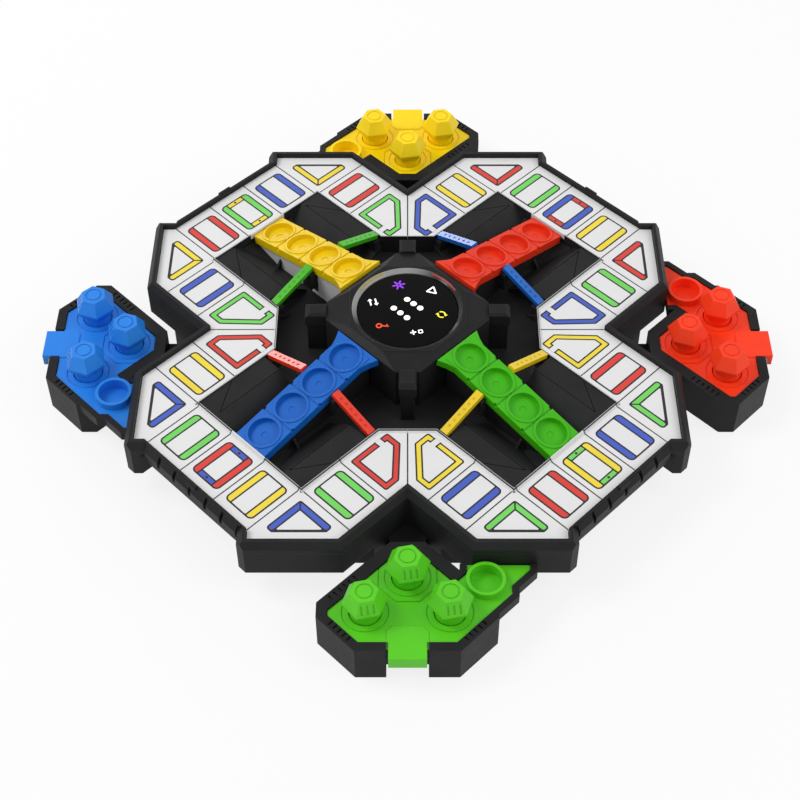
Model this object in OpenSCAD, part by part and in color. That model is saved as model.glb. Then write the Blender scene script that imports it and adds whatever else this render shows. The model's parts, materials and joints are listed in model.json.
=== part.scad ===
// Electronic board game with a cross-shaped track, four home lanes, a press-down display tower,
// and four plug-in trays with pawns. Millimetres, +Z up, table at z = 0, board centre at x = y = 0.
// Each arm of the board lies on a diagonal: u runs outward along the arm, v runs across it.

/* [Board] */
// Height of the raised edges of the white track above the table
track_z = 31.5; // [28:0.5:38]
// Distance from the long outer edge of the white track to the sharp corner it cuts off
corner_cut = 3.84; // [2:0.02:6]
// Half width of the white track across one arm
arm_half = 66; // [64:0.5:68]
// Width of one strip of the track
strip_w = 31.5; // [30:0.5:33]
// Width of one cell along the track
cell_w = 22.5; // [21.5:0.1:22.9]
// Distance from the centre to the cut corners of the white track
chamfer_d = 122.8; // [120:0.2:125]
// Distance from the middle of a side to the short corner edges of the white track
corner_d = 68.6; // [66:0.2:71]
// Distance from the centre to the flat inner ends of the track
inner_d = 62; // [58:0.5:66]
// Thickness of the white track plates
plate_t = 1.6; // [1.2:0.1:2.4]
// Depth of the cells below the raised edges
plate_sink = 1.6; // [1:0.1:2]
// Width of the raised edges beside the hollows
lip_w = 1.4; // [1:0.1:2]
// Width of the seams between two cells
seam_w = 0.6; // [0.3:0.1:1]
// Depth of the seams between two cells
seam_deep = 0.5; // [0.2:0.1:0.8]

/* [Frame] */
// Width of the black rim round the track
rim_w = 4.1; // [3.5:0.1:5.5]
// Height of the rim above the raised edges of the track
rim_up = 1.2; // [0.6:0.1:2]
// Width of the flat top of the rim
rim_flat = 1.6; // [1.2:0.1:2.2]
// Height of the slope outside the flat top of the rim
rim_slope = 3.2; // [2:0.1:3.8]
// Width of the knobs at the short corner edges
knob_out = 4.4; // [3.5:0.1:5.5]
// Thickness of the deck that carries the plates
deck_t = 1.4; // [1:0.1:2.5]
// Depth of the sunken hollows below the track
hollow_deep = 11.5; // [9:0.5:13]
// Depth of the ledges in the hollows below the track
ledge_drop = 0.5; // [0.3:0.1:2]
// Width of the ledges along the sides of the hollows
ledge_w = 11.5; // [8:0.5:14]
// Length of the slope at the outer end of a hollow
end_slope = 16.5; // [12:0.5:20]
// Thickness of the hollow floors and walls
pan_t = 2; // [1.5:0.1:3]
// Depth of the side rails below the track
rail_drop = 10.5; // [8:0.5:12]
// Width of the flat top of the side rails
rail_top = 1.5; // [1.2:0.1:2.2]
// Distance that the rail segments stand out
rail_out = 2.2; // [1.5:0.1:3]
// Number of raised segments on one rail
rail_count = 6; // [4:2:8]

/* [Base] */
// Height of the leg bottoms above the table
leg_z = 13; // [12:0.5:15]
// Distance from the outer face of a corner leg to the sharp corner it cuts off
leg_cut = 2.25; // [1:0.05:4]
// Length of the short face beside the outer face of a corner leg
leg_foot = 2.7; // [1.5:0.1:4]
// Thickness of the outer walls
wall = 3.2; // [2.4:0.1:4]
// Depth of the finger gap behind each rail
finger_gap = 6.3; // [5:0.1:8]
// Distance from the centre to the sides of the low hub
hub_reach = 112; // [108:0.5:116]
// Thickness of the hub floor
hub_floor = 2.6; // [2.4:0.1:4]
// Gap between the hub floor and the table
hub_gap = 1.5; // [1:0.1:3]
// Radius of the rubber feet
foot_r = 6; // [4:0.5:8]
// Depth of the pockets that hold the feet
foot_sink = 0.6; // [0.3:0.1:1]

/* [Lanes] */
// Width of a home lane
lane_w = 18.9; // [17.5:0.1:20]
// Thickness of a home lane
lane_t = 4.6; // [4:0.1:6]
// Slope of the lanes toward the tower, in degrees
lane_slope = 12; // [9:0.5:13]
// Height of the outer end of a lane relative to the track
lane_low = -1.4; // [-2:0.1:-0.5]
// Radius of the lane cups
cup_r = 7.2; // [6.4:0.1:7.6]
// Depth of the lane cups
cup_deep = 2.2; // [1.5:0.1:3]
// Distance from the ends of a lane to its first and last cup
lane_margin = 8.7; // [8.5:0.1:10]
// Distance that the ears at the inner end stand out
ear_out = 3.6; // [2:0.1:5]
// Width of the ramp under a lane
ramp_w = 15.2; // [13:0.1:16]
// Thickness of the side panels on the ramps
panel_t = 0.8; // [0.5:0.1:1.2]

/* [Bars] */
// Width of the coloured bars
bar_w = 4; // [3:0.1:6]
// Thickness of the coloured bars
bar_t = 2.4; // [1.6:0.1:3]
// Height of the inner bar ends above the track
bar_up = 8.6; // [7.5:0.1:10]
// Distance from the centre to the bars along an arm
bar_u = 56.8; // [56.5:0.1:60]

/* [Tower] */
// Distance from the centre to the tower sides that face the lanes
tower_u = 31; // [30.5:0.1:33]
// Distance from the centre to the cut tower corners
tower_corner = 38.2; // [37.4:0.2:40]
// Height of the tower top above the track
tower_up = 13.7; // [13:0.1:15]
// Height of the sloped shoulder below the tower top
shoulder_h = 1.8; // [1:0.1:3]
// Distance from the centre to the flats of the raised eight-sided collar
collar_d = 27.4; // [27:0.1:29]
// Bore radius of the tower
bore_r = 26.3; // [26:0.1:26.4]
// Wall thickness of the clear light ring
ring_t = 2.2; // [1.8:0.1:2.4]
// Height of the clear light ring
ring_h = 5.4; // [4:0.1:6]
// Depth of the inner slope of the light ring
ring_slope = 1.4; // [0.8:0.1:2]
// Depth of the display edge below the slope of the light ring
display_sink = 0.2; // [0.1:0.1:1]
// Crown of the display
display_crown = 1; // [0.6:0.1:2]
// Travel of the display when it is pressed
press_travel = 2; // [1:0.1:2.5]
// Width of the posts
post_w = 8; // [6:0.2:10]
// Depth of the posts
post_d = 10; // [8:0.2:11]
// Height of the posts above the track
post_up = 13; // [10:0.5:16]

/* [Trays] */
// Height of the trays
tray_h = 20.5; // [18.5:0.5:22]
// Least distance from the board panel to the tray front
tray_len = 43.5; // [42:0.5:48]
// Least length of the straight tray sides
tray_side = 7.1; // [5:0.1:10]
// Half width of the tray
tray_half = 38.4; // [37:0.2:41]
// Half width of the tray front
front_half = 22; // [20:0.5:24]
// Gap between the tray and the notch walls
notch_gap = 6.6; // [5:0.1:8]
// Width of the tray rim along the notch
tray_rim = 6; // [4:0.1:7]
// Width of the tray rim along the front
front_rim = 4.5; // [3:0.1:6]
// Distance from the notch wedge to the flat tray tip
tip_cut = 7.6; // [6:0.2:9]
// Thickness of the tray floor
tray_floor = 2.2; // [1.6:0.1:3]
// Thickness of the side shelf
shelf_t = 5.2; // [4.6:0.1:6]
// Width of the rim round the side shelf
shelf_rim = 3; // [2:0.1:3.4]
// Width of the ledge that carries the insert
ledge = 2.4; // [1.6:0.1:3]
// Half width of the front slot
slot_half = 8.9; // [8:0.1:11]
// Depth of the front slot
slot_deep = 6.2; // [5:0.1:7]
// Width of the dock tongue
tongue_w = 16; // [10:0.5:20]
// Thickness of the dock tongue
tongue_t = 6; // [4:0.2:7]
// Height of the dock tongue above the table
tongue_z = 5; // [4:0.2:6]
// Length of the dock tongue inside the tray
tongue_in = 6; // [3:0.2:8]

/* [Inserts] */
// Thickness of the insert under the pawns
insert_t = 5.4; // [4.8:0.1:6.5]
// Thickness of the insert on the side shelf
wing_t = 2.8; // [2:0.1:3.4]
// Depth of the insert top below the tray rim
insert_sink = 0.8; // [0.3:0.1:1.2]
// Half width of the insert front
insert_front = 20.5; // [19:0.2:22]
// Half width of the insert
insert_half = 33.6; // [32:0.2:35]
// Start of the side wing across the tray
wing_x0 = 25.2; // [24.5:0.1:27]
// Tip of the side wing across the tray
wing_x1 = 52.4; // [50:0.2:55]
// Step of the side wing across the tray
wing_x2 = 44.2; // [43:0.2:46]
// Radius of the tray cups
seat_r = 7; // [6.6:0.1:7.4]
// Depth of the tray cups
seat_deep = 3.8; // [3:0.1:4.4]
// Height of the raised cup on the wing
boss_h = 3.8; // [2:0.1:6]
// Wall of the raised cup on the wing
boss_t = 1.5; // [1:0.1:2]
// Distance of the side pawns from the middle
pawn_x = 17.8; // [17:0.1:18.6]
// Half width of the fold-over tab
tab_half = 8; // [6:0.1:8.4]
// Distance that the raised root of the tab stands out beside the tab
tab_root = 0.8; // [0.4:0.1:2]
// Distance that the tab stands out past the tray front
tab_out = 3.8; // [3:0.1:6]
// Height of the hanging lip of the tab
tab_drop = 5.8; // [3:0.1:8]
// Thickness of the tab
tab_t = 1.8; // [1.2:0.1:2.5]

/* [Pawns] */
// Height of a pawn
pawn_h = 19.2; // [17:0.2:22]
// Radius of the six corners of the pawn belt
pawn_r = 9.9; // [9:0.1:10.4]
// Radius of the six corners of the flat pawn top
pawn_top = 6.1; // [4.6:0.1:7]
// Turn of the six corners about the pawn axis
pawn_turn = 11; // [0:1:30]
// Height of the pawn belt above its foot
belt_z = 12; // [11:0.2:13]
// Height of the pawn belt
belt_h = 0.8; // [0.4:0.1:1.2]
// Height of the slope under the pawn belt
under_h = 3.6; // [2.6:0.2:4.6]

/* [Electronics] */
// Radius of one cell
cell_r = 5.15; // [5:0.05:5.2]
// Length of one cell
cell_len = 44.5; // [43:0.5:46]
// Wall of the battery box
box_wall = 1.6; // [1:0.1:2]
// Height of the battery box
box_h = 13.2; // [12.6:0.1:13.4]
// Travel of the battery door
door_travel = 14; // [8:1:20]
// Thickness of the battery door
door_t = 1.3; // [1:0.1:1.5]
// Radius of the speaker
speaker_r = 18; // [14:0.5:20]
// Height of the speaker
speaker_h = 5.4; // [4:0.1:7]
// Thickness of the circuit boards
board_t = 1.6; // [1:0.1:2]
// Width of the lamps on the display board
lamp_w = 2; // [1.4:0.1:2.6]
// Length of the main board
main_l = 64; // [50:1:70]
// Width of the main board
main_w = 36; // [28:1:40]
// Width of the largest chip
chip_w = 12; // [8:0.5:14]
// Height of the main board above the hub floor
main_up = 5.4; // [3:0.1:6]
// Travel of the power knob
knob_travel = 4; // [2:0.5:5]
// Radius of the screw shanks
screw_r = 1.5; // [1.2:0.1:2]
// Radius of the screw heads
screw_head_r = 3; // [2.4:0.1:3.4]

/* [Fits] */
// Clearance beside a sliding or lift-out piece
slide_gap = 0.4; // [0.3:0.05:0.6]
// Clearance beside a piece that is seated
seat_gap = 0.15; // [0.05:0.05:0.3]
// Gap round a white plate
joint_gap = 0.05; // [0.02:0.01:0.1]
// Clearance round a pawn in its cup
pawn_gap = 0.4; // [0.3:0.05:0.6]

/* [Hidden] */
$fn = 64;
eps = 0.01;
root2 = sqrt(2);
far = 400;

black = [0.15, 0.15, 0.15];
dark = [0.2, 0.2, 0.21];
white = [0.92, 0.92, 0.91];
grey = [0.72, 0.72, 0.72];
yellow = [0.98, 0.84, 0.08];
red = [0.95, 0.2, 0.1];
green = [0.3, 0.76, 0.16];
blue = [0.16, 0.46, 0.88];

// Directions of the arms (red, yellow, blue, green) and of the trays (green, red, yellow, blue)
function arm_turn(k) = 45 + 90 * k;
function side_turn(k) = 90 * k;

// Board
arm_reach = (chamfer_d + corner_d) / root2 - corner_cut;
hollow_reach = arm_reach - strip_w;
hollow_half = arm_half - strip_w;
seam_u = hollow_reach - cell_w;
rim_d = chamfer_d + rim_w;
notch_v = arm_half + rim_w;
rail_u = arm_reach + rail_top;
rail_in = arm_reach + seat_gap;
plate_top = track_z - plate_sink;
plate_z = plate_top - plate_t;
part_z = plate_z - deck_t;
lip_z = part_z - 2;
floor_z = track_z - hollow_deep;
pan_z = floor_z - pan_t;
rail_z = track_z - rail_drop;
rim_z = track_z + rim_up;

// Base
knob_d = corner_d + knob_out;
leg_reach = (rim_d + knob_d) / root2 - leg_cut;
leg_v = rim_d * root2 - leg_reach;
leg_edge = leg_reach - knob_d * root2;
leg_start = leg_edge - leg_foot;
leg_side = leg_reach - leg_foot;
recess_u = rail_in - finger_gap;
wall_u = recess_u - wall;
wall_d = rim_d - wall;
wall_v = notch_v - wall;
wall_c = (recess_u - leg_start) / root2 - wall;
hub_d = rim_d - 13;
hub_c = hub_reach * root2 - hub_d - 3;
hub_wall = wall - 0.7;
hub_top = hub_gap + hub_floor;
shelf_z = leg_z + 2.2;
rail_half = rail_u + rail_out - knob_d * root2 - slide_gap;
boss_r = screw_head_r + 1.5;
boss_u = hollow_reach - boss_r;
boss_v = hollow_half + strip_w / 2;
foot_u = hub_reach - 2 * foot_r;
foot_v = 5 * foot_r;

// Lanes
lane_u1 = hollow_reach - slide_gap;
lane_u0 = tower_u + slide_gap + lane_t * sin(lane_slope);
lane_len = (lane_u1 - lane_u0) / cos(lane_slope);
cup_pitch = (lane_len - 2 * lane_margin) / 3;
lane_z = track_z + lane_low;
lane_drop = lane_t / cos(lane_slope);
function lane_top(u) = lane_z + (lane_u1 - u) * tan(lane_slope);
ramp_u0 = lane_u0 + 0.6;

// Ledges and slopes of the hollows
skirt_w = 7.5;
skirt_z = lane_top(hollow_reach) - lane_drop;
skirt_u = inner_d * root2 - hollow_half;
ledge_z = track_z - ledge_drop;
ledge_v = hollow_half - ledge_w;
foot_line = ramp_w / 2 + panel_t + 1;
fin_v = ramp_w / 2 + panel_t + seat_gap;
fin_u = hollow_reach - end_slope - 2.5;
line_w = 0.6;

// Bars
bar_v0 = hollow_half - seat_gap - 0.2;
bar_v1 = lane_w / 2 + 1.1;
bar_z0 = track_z + 0.2;
bar_z1 = track_z + bar_up;
bar_len = norm([bar_v0 - bar_v1, bar_z1 - bar_z0]);
bar_tilt = atan2(bar_z1 - bar_z0, bar_v0 - bar_v1);
bar_drop = bar_t / cos(bar_tilt);
hold_w = bar_w + 2;
hold_len = 3;
hold_gap = 0.1;
ledge_u = bar_u + hold_w / 2 + 0.6;

// Tower
tower_z = track_z + tower_up;
tower_v = tower_corner * root2 - tower_u;
shoulder_z = tower_z - 0.5 - shoulder_h;
collar_slope = atan2(shoulder_h, tower_u - collar_d);
corner_slope = atan2(shoulder_h, tower_corner - collar_d);
ring_r = bore_r - 0.1;
ring_in = ring_r - ring_t;
ring_z = tower_z - 0.1 - ring_h;
display_r = ring_in - slide_gap;
display_z = tower_z - 0.1 - ring_slope - display_sink;
lens_t = 1;
carrier_z = display_z - lens_t;
carrier_r = display_r - 0.2;
carrier_t = 1.2;
flange_r = bore_r - 0.7;
flange_z = ring_z - 0.3;
flange_h = 1.6;
flange_low = flange_z - flange_h;
board_z = flange_low - press_travel - 3.8;
board_top = board_z + board_t;
pad_top = flange_low - press_travel - 0.1;
switch_half = 2.5;
stem_r = 1.3;
stem_gap = 0.3;
stem_low = board_top + 0.5 + press_travel;
switch_top = stem_low + 0.6;
dot_pitch = display_r * 0.178;
dot_row = display_r * 0.182;
post_u = tower_corner;
cable_y = -14;

// Trays, drawn for the tray on the -Y side
wedge_y = root2 * (notch_v + notch_gap);
front_y = max(rim_d + tray_len, wedge_y + 2 * tray_half - front_half + tray_side);
insert_y = front_y - front_rim;
insert_wedge = root2 * (notch_v + notch_gap + tray_rim);
insert_tip = wedge_y + tip_cut + tray_rim - 0.9;
dock_y = rim_d + slide_gap;
wing_y = dock_y + 0.3;
wing_c = wing_x0 + insert_wedge + 14.8;
wing_cut = 2.4;
insert_top = tray_h - insert_sink;
insert_z = insert_top - insert_t;
wing_z = insert_top - wing_t;
shelf_low = tray_h - shelf_t;
cavity_front = slot_deep + 1.7;
seat_z = insert_top - seat_deep;
pawn_y1 = insert_y - 14.9;
pawn_y2 = insert_tip + 12.4;
boss_x = wing_x0 + 7.9;
boss_y = wing_y + 9.2;
boss_floor = 0.8;
groove_r = 10;
groove_w = 0.5;
groove_deep = 0.4;
pad_d = 12.6;
tongue_y = wedge_y + tip_cut + tongue_in;

// Pawns
plug_r = seat_r - pawn_gap;
belt_in = pawn_r * cos(30);
crown_slope = atan2(pawn_h - belt_z - belt_h, belt_in - pawn_top * cos(30));
under_slope = atan2(under_h, belt_in - plug_r - 0.3);

// Electronics
box_y = 12;
cell_pitch_y = 2 * cell_r + 0.5;
box_in_x = cell_len / 2 + 2.2;
box_in_y = 1.5 * cell_pitch_y + 0.4;
cell_z = hub_top + box_h - box_wall - cell_r - 0.05;
door_half_x = box_in_x + 3.6;
door_half_y = box_in_y + 1.9;
door_flange = 1.2;
door_gap = 0.1;
speaker_y = box_y + box_in_y + box_wall + speaker_r + 8;
main_y = -main_w / 2 - 40;
main_z = hub_top + main_up;
knob_x = -52;
knob_y = 12;
knob_w = 3.6;
knob_l = 6;

function turn(p, a) = [p[0] * cos(a) - p[1] * sin(a), p[0] * sin(a) + p[1] * cos(a)];

// Outline of one arm from its long side, cut corners, notch walls and short corner edges
function arm_outline(u, d, v, c) = [
  [v, -v],
  [d * root2 - v, -v],
  [(d + c) / root2, (c - d) / root2],
  [u, c * root2 - u],
  [u, u - c * root2],
  [(d + c) / root2, (d - c) / root2],
  [d * root2 - v, v],
  [v, v]
];

// Outline of the whole board, with each arm left open at its second notch
function board_outline(u, d, v, c) = [
  for (k = [0:3])
    for (i = [0:6])
      turn(arm_outline(u, d, v, c)[i], arm_turn(k))
];

// Outline of the lower body with a recess behind each rail and a leg at each corner
function leg_outline() = [
  for (k = [0:3])
    for (p = [
      [notch_v, -notch_v],
      [rim_d * root2 - notch_v, -notch_v],
      [leg_reach, -leg_v],
      [leg_reach, -leg_edge],
      [leg_side, -leg_start],
      [recess_u, -leg_start],
      [recess_u, leg_start],
      [leg_side, leg_start],
      [leg_reach, leg_edge],
      [leg_reach, leg_v],
      [rim_d * root2 - notch_v, notch_v]
    ])
      turn(p, arm_turn(k))
];

// Sides of the sunken cross in one arm, grown by g
function hollow_sides(g) = [
  [(inner_d + g) * root2 - hollow_half - g, -hollow_half - g],
  [hollow_reach + g, -hollow_half - g],
  [hollow_reach + g, hollow_half + g],
  [(inner_d + g) * root2 - hollow_half - g, hollow_half + g]
];

// Outline of the sunken cross with its flat inner ends, grown by g
function hollow_outline(g) = [
  for (k = [0:3])
    for (p = hollow_sides(g))
      turn(p, arm_turn(k))
];

// Path round the hollow in one arm, out to the flat inner ends it shares with the next arms
function hollow_path(g) = concat(
  [turn(hollow_sides(g)[3], -90)],
  hollow_sides(g),
  [turn(hollow_sides(g)[0], 90)]
);

// Outline of one white plate on an arm along +u, drawn in by g
function plate_outline(g) = concat(
  [
    [inner_d / root2 + g * root2, -inner_d / root2],
    [arm_half + g * (root2 - 1), g - arm_half]
  ],
  [for (i = [1:6]) arm_outline(arm_reach - g, chamfer_d - g, arm_half - g, corner_d - g)[i]],
  [
    [arm_half + g * (root2 - 1), arm_half - g],
    [inner_d / root2 + g * root2, inner_d / root2]
  ],
  [for (i = [3:-1:0]) hollow_sides(g)[i]]
);

// Outline of the tray body
function tray_outline() = [
  [-front_half, -front_y],
  [front_half, -front_y],
  [tray_half, tray_half - front_half - front_y],
  [tray_half, -wedge_y - tray_half],
  [tip_cut, -wedge_y - tip_cut],
  [-tip_cut, -wedge_y - tip_cut],
  [-tray_half, -wedge_y - tray_half],
  [-tray_half, tray_half - front_half - front_y]
];

// Outline of the middle part of an insert, grown by g, with its front moved by f
function core_outline(g, f) = [
  [-insert_front - g * 0.414 + f - g, -insert_y - f],
  [insert_front + g * 0.414 - f + g, -insert_y - f],
  [insert_half + g, insert_half - insert_front - insert_y - g * 0.414],
  [insert_half + g, root2 * g - insert_wedge - insert_half - g],
  [insert_tip - insert_wedge + g * 0.414, g - insert_tip],
  [insert_wedge - insert_tip - g * 0.414, g - insert_tip],
  [-insert_half - g, root2 * g - insert_wedge - insert_half - g],
  [-insert_half - g, insert_half - insert_front - insert_y - g * 0.414]
];

// Outline of a whole insert with its side wing, grown by g, with the wing edge at distance e
function wing_outline(g, e) = [
  [-insert_front - g * 0.414, -insert_y - g],
  [insert_front + g * 0.414, -insert_y - g],
  [wing_x2 + g, wing_x2 - insert_front - insert_y - g * 0.414],
  [wing_x2 + g, wing_x2 - wing_x1 - wing_y - wing_cut - g * 0.414],
  [wing_x1 + g, -wing_y - wing_cut - g * 0.414],
  [wing_x1 + g, -e],
  [wing_x0 - g, -e],
  [wing_x0 - g, wing_x0 + root2 * g - wing_c - g],
  [(wing_c - insert_wedge) / 2, root2 * g - insert_wedge - (wing_c - insert_wedge) / 2],
  [insert_tip - insert_wedge + g * 0.414, g - insert_tip],
  [insert_wedge - insert_tip - g * 0.414, g - insert_tip],
  [-insert_half - g, root2 * g - insert_wedge - insert_half - g],
  [-insert_half - g, insert_half - insert_front - insert_y - g * 0.414]
];

module slab(points, low, high) {
  translate([0, 0, low])
    linear_extrude(high - low)
      polygon(points);
}

module block(x0, x1, y0, y1, z0, z1) {
  translate([x0, y0, z0])
    cube([x1 - x0, y1 - y0, z1 - z0]);
}

module rod(r, z0, z1) {
  translate([0, 0, z0])
    cylinder(r = r, h = z1 - z0);
}

module on_arm(a) {
  rotate([0, 0, a])
    children();
}

module on_arms() {
  for (k = [0:3])
    on_arm(arm_turn(k))
      children();
}

module on_sides() {
  for (k = [0:3])
    rotate([0, 0, side_turn(k)])
      children();
}

// A profile in u and z, drawn across v from v0 to v1
module across(points, v0, v1) {
  translate([0, v1, 0])
    rotate([90, 0, 0])
      linear_extrude(v1 - v0)
        polygon(points);
}

// A profile in v and z, drawn along u from u0 to u1
module along(points, u0, u1) {
  translate([u0, 0, 0])
    rotate([90, 0, 90])
      linear_extrude(u1 - u0)
        polygon(points);
}

// Bosses, screws and feet share these places
module at_bosses() {
  on_arms()
    for (s = [-1, 1])
      translate([boss_u, s * boss_v, 0])
        children();
}

module at_feet() {
  on_arms()
    for (s = [-1, 1])
      translate([foot_u, s * foot_v, 0])
        children();
}

module at_board_corners() {
  for (sx = [-1, 1])
    for (sy = [-1, 1])
      translate([sx * (main_l / 2 - 4), main_y + sy * (main_w / 2 - 4), 0])
        children();
}

module at_grille() {
  for (ring = [0:2])
    for (k = [0:max(0, 6 * ring - 1)])
      translate([0, speaker_y, 0])
        rotate([0, 0, 60 * k / max(1, ring)])
          translate([ring * speaker_r / 3.2, 0, 0])
            children();
}

module base_shell() {
  color(black)
    difference() {
      union() {
        difference() {
          union() {
            slab(leg_outline(), leg_z, part_z);
            slab(board_outline(hub_reach, hub_d, notch_v, hub_c), hub_gap, leg_z + eps);
          }
          slab(board_outline(wall_u, wall_d, wall_v, wall_c), shelf_z, part_z + 1);
          slab(board_outline(hub_reach - hub_wall, hub_d - hub_wall, wall_v, hub_c - hub_wall), hub_top, shelf_z + 1);
        }
        at_bosses()
          rod(boss_r, hub_gap, lip_z - 8);
        at_board_corners()
          rod(2.5, hub_gap, main_z);
        on_sides()
          block(-tongue_w / 2, tongue_w / 2, -tongue_y, -wall_v * root2 - 1, tongue_z, tongue_z + tongue_t);
      }
      at_bosses() {
        rod(screw_r + seat_gap, 0, lip_z);
        rod(screw_head_r + seat_gap, 0, hub_gap + 2.4);
      }
      at_feet()
        rod(foot_r + seat_gap, 0, hub_gap + foot_sink);
      at_grille()
        rod(1.3, 0, hub_top + 1);
      translate([0, box_y, 0]) {
        block(-door_half_x - seat_gap, door_half_x + seat_gap + door_travel,
              -door_half_y - seat_gap, door_half_y + seat_gap, 0, hub_gap + door_t + 2 * door_gap);
        block(-door_half_x - seat_gap, door_half_x + seat_gap + door_travel,
              -door_half_y - door_flange - seat_gap, door_half_y + door_flange + seat_gap,
              hub_gap + door_t / 2, hub_gap + door_t + 2 * door_gap);
        block(-box_in_x, box_in_x, -box_in_y, box_in_y, 0, hub_top + 1);
      }
      translate([knob_x, knob_y, 0])
        block(-knob_w / 2 - slide_gap, knob_w / 2 + slide_gap,
              -knob_l / 2 - slide_gap, knob_l / 2 + slide_gap + knob_travel, 0, hub_top + 1);
    }
}

// One side rail with its segments, flange and middle nub
module rail() {
  seg = 2 * rail_half / rail_count;
  block(rail_in, rail_u, -rail_half, rail_half, rail_z, rim_z);
  block(rail_u - eps, rail_u + rail_out - 0.9, -rail_half, rail_half, rail_z, rail_z + 3.4);
  for (k = [0:rail_count - 1])
    across([
      [rail_u - eps, rim_z - 0.6],
      [rail_u + 0.5, rim_z - 0.6],
      [rail_u + rail_out, track_z - 2.2],
      [rail_u + rail_out, track_z - 5.6],
      [rail_u - eps, track_z - 5.6]
    ], -rail_half + k * seg + 0.9, -rail_half + (k + 1) * seg - 0.9);
  across([
    [rail_in, rim_z - eps],
    [rail_in + 0.6, rim_z + 1.2],
    [rail_u, rim_z + 1.2],
    [rail_u + 1.1, rim_z],
    [rail_u + 1.1, track_z - 2],
    [rail_u - eps, track_z - 2]
  ], -3.2, 3.2);
}

// One straight edge between mitred ends: a slope along a to b, a flat top along c to d
module mitred_edge(a, b, c, d, low, slope_z, top, flat) {
  dir = b - a;
  w = abs(dir[0] * (c[1] - a[1]) - dir[1] * (c[0] - a[0])) / norm(dir);
  intersection() {
    slab([a, b, d, c], low, top + 1);
    translate([a[0], a[1], 0])
      rotate([0, 0, atan2(dir[1], dir[0])])
        along([
          [0, low - 1],
          [0, slope_z],
          [w - flat, top],
          [w + 9, top],
          [w + 9, low - 1]
        ], -far, norm(dir) + far);
  }
}

// Rim of one arm, cut off at the outer leg faces
module arm_rim() {
  o = arm_outline(rail_u, rim_d, notch_v, knob_d);
  n = arm_outline(rail_in, chamfer_d + seat_gap, arm_half + seat_gap, corner_d + seat_gap);
  difference() {
    for (i = [0, 1, 2, 4, 5, 6])
      mitred_edge(o[i], o[i + 1], n[i], n[i + 1], part_z, rim_z - rim_slope, rim_z, rim_flat);
    block(leg_reach, far, -far, far, 0, rim_z + 1);
  }
  slab([o[3], o[4], n[4], n[3]], part_z, rim_z);
}

// Ledges, slopes, fins, ramp and bar holders inside one hollow
module hollow_inside() {
  for (s = [-1, 1]) {
    along([
      [s * (hollow_half + eps), floor_z - eps],
      [s * (hollow_half + eps), ledge_z],
      [s * ledge_v, ledge_z],
      [s * foot_line, floor_z - eps]
    ], ledge_u, hollow_reach + eps);
    along([
      [s * fin_v, floor_z - eps],
      [s * fin_v, floor_z + 6],
      [s * (fin_v + 4), floor_z - eps]
    ], fin_u - 0.6, fin_u + 0.6);
    along([
      [s * (hollow_half + eps), floor_z - eps],
      [s * (hollow_half + eps), skirt_z],
      [s * (hollow_half - skirt_w), floor_z - eps]
    ], skirt_u, hollow_reach);
    block(bar_u - hold_w / 2, bar_u + hold_w / 2,
          min(s * (hollow_half - 4), s * (hollow_half + eps)),
          max(s * (hollow_half - 4), s * (hollow_half + eps)), floor_z, bar_z0 - bar_drop - hold_gap);
    block(bar_u - hold_w / 2, bar_u + hold_w / 2,
          min(0, s * (lane_w / 2 + 0.3 + hold_len)), max(0, s * (lane_w / 2 + 0.3 + hold_len)),
          track_z - 5, lane_top(bar_u + hold_w / 2) - lane_drop - 0.2);
    block(bar_u - hold_w / 2, bar_u + hold_w / 2,
          min(s * (lane_w / 2 + 0.3), s * (lane_w / 2 + 0.3 + hold_len)),
          max(s * (lane_w / 2 + 0.3), s * (lane_w / 2 + 0.3 + hold_len)),
          track_z - 5,
          bar_z1 - (lane_w / 2 + 0.3 + hold_len - bar_v1) * tan(bar_tilt) - bar_drop - hold_gap);
  }
  across([
    [hollow_reach - end_slope, floor_z - eps],
    [hollow_reach + eps, floor_z - eps],
    [hollow_reach + eps, skirt_z]
  ], -hollow_half, hollow_half);
  across([
    [ramp_u0, floor_z - eps],
    [hollow_reach + eps, floor_z - eps],
    [hollow_reach + eps, lane_top(hollow_reach + eps) - lane_drop],
    [ramp_u0, lane_top(ramp_u0) - lane_drop]
  ], -ramp_w / 2, ramp_w / 2);
}

// Engraved lines along the ledges and across them from their outer ends
module floor_lines() {
  for (s = [-1, 1]) {
    block(ledge_u - 1, hollow_reach - 3, s * (ledge_v + 0.4) - line_w / 2, s * (ledge_v + 0.4) + line_w / 2,
          ledge_z - 0.5, ledge_z + 1);
    translate([hollow_reach - 3, s * (ledge_v + 0.4), ledge_z - 0.5])
      rotate([0, 0, 180 - s * 33])
        block(0, 19, -line_w / 2, line_w / 2, 0, 1);
  }
}

module top_frame() {
  color(black)
    difference() {
      union() {
        difference() {
          union() {
            slab(board_outline(rail_in + 0.3, chamfer_d + 0.6, arm_half + 0.6, corner_d + 0.6), part_z, plate_z);
            slab(board_outline(wall_u - seat_gap, wall_d - seat_gap, wall_v - seat_gap, wall_c - seat_gap),
                 lip_z, part_z + eps);
            slab(hollow_outline(pan_t), pan_z, part_z + eps);
          }
          slab(hollow_outline(0), floor_z, rim_z + 1);
        }
        on_arms() {
          rail();
          arm_rim();
          hollow_inside();
        }
        at_bosses()
          rod(boss_r - 0.5, lip_z - 8, part_z + eps);
      }
      on_arms()
        floor_lines();
      at_bosses()
        rod(screw_r + 0.1, lip_z - 9, part_z);
      block(-6, 6, cable_y - 1.5, cable_y + 1.5, pan_z - 1, floor_z + 1);
      block(-3, 3, -3, 3, pan_z - 1, floor_z + 1);
    }
}

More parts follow.
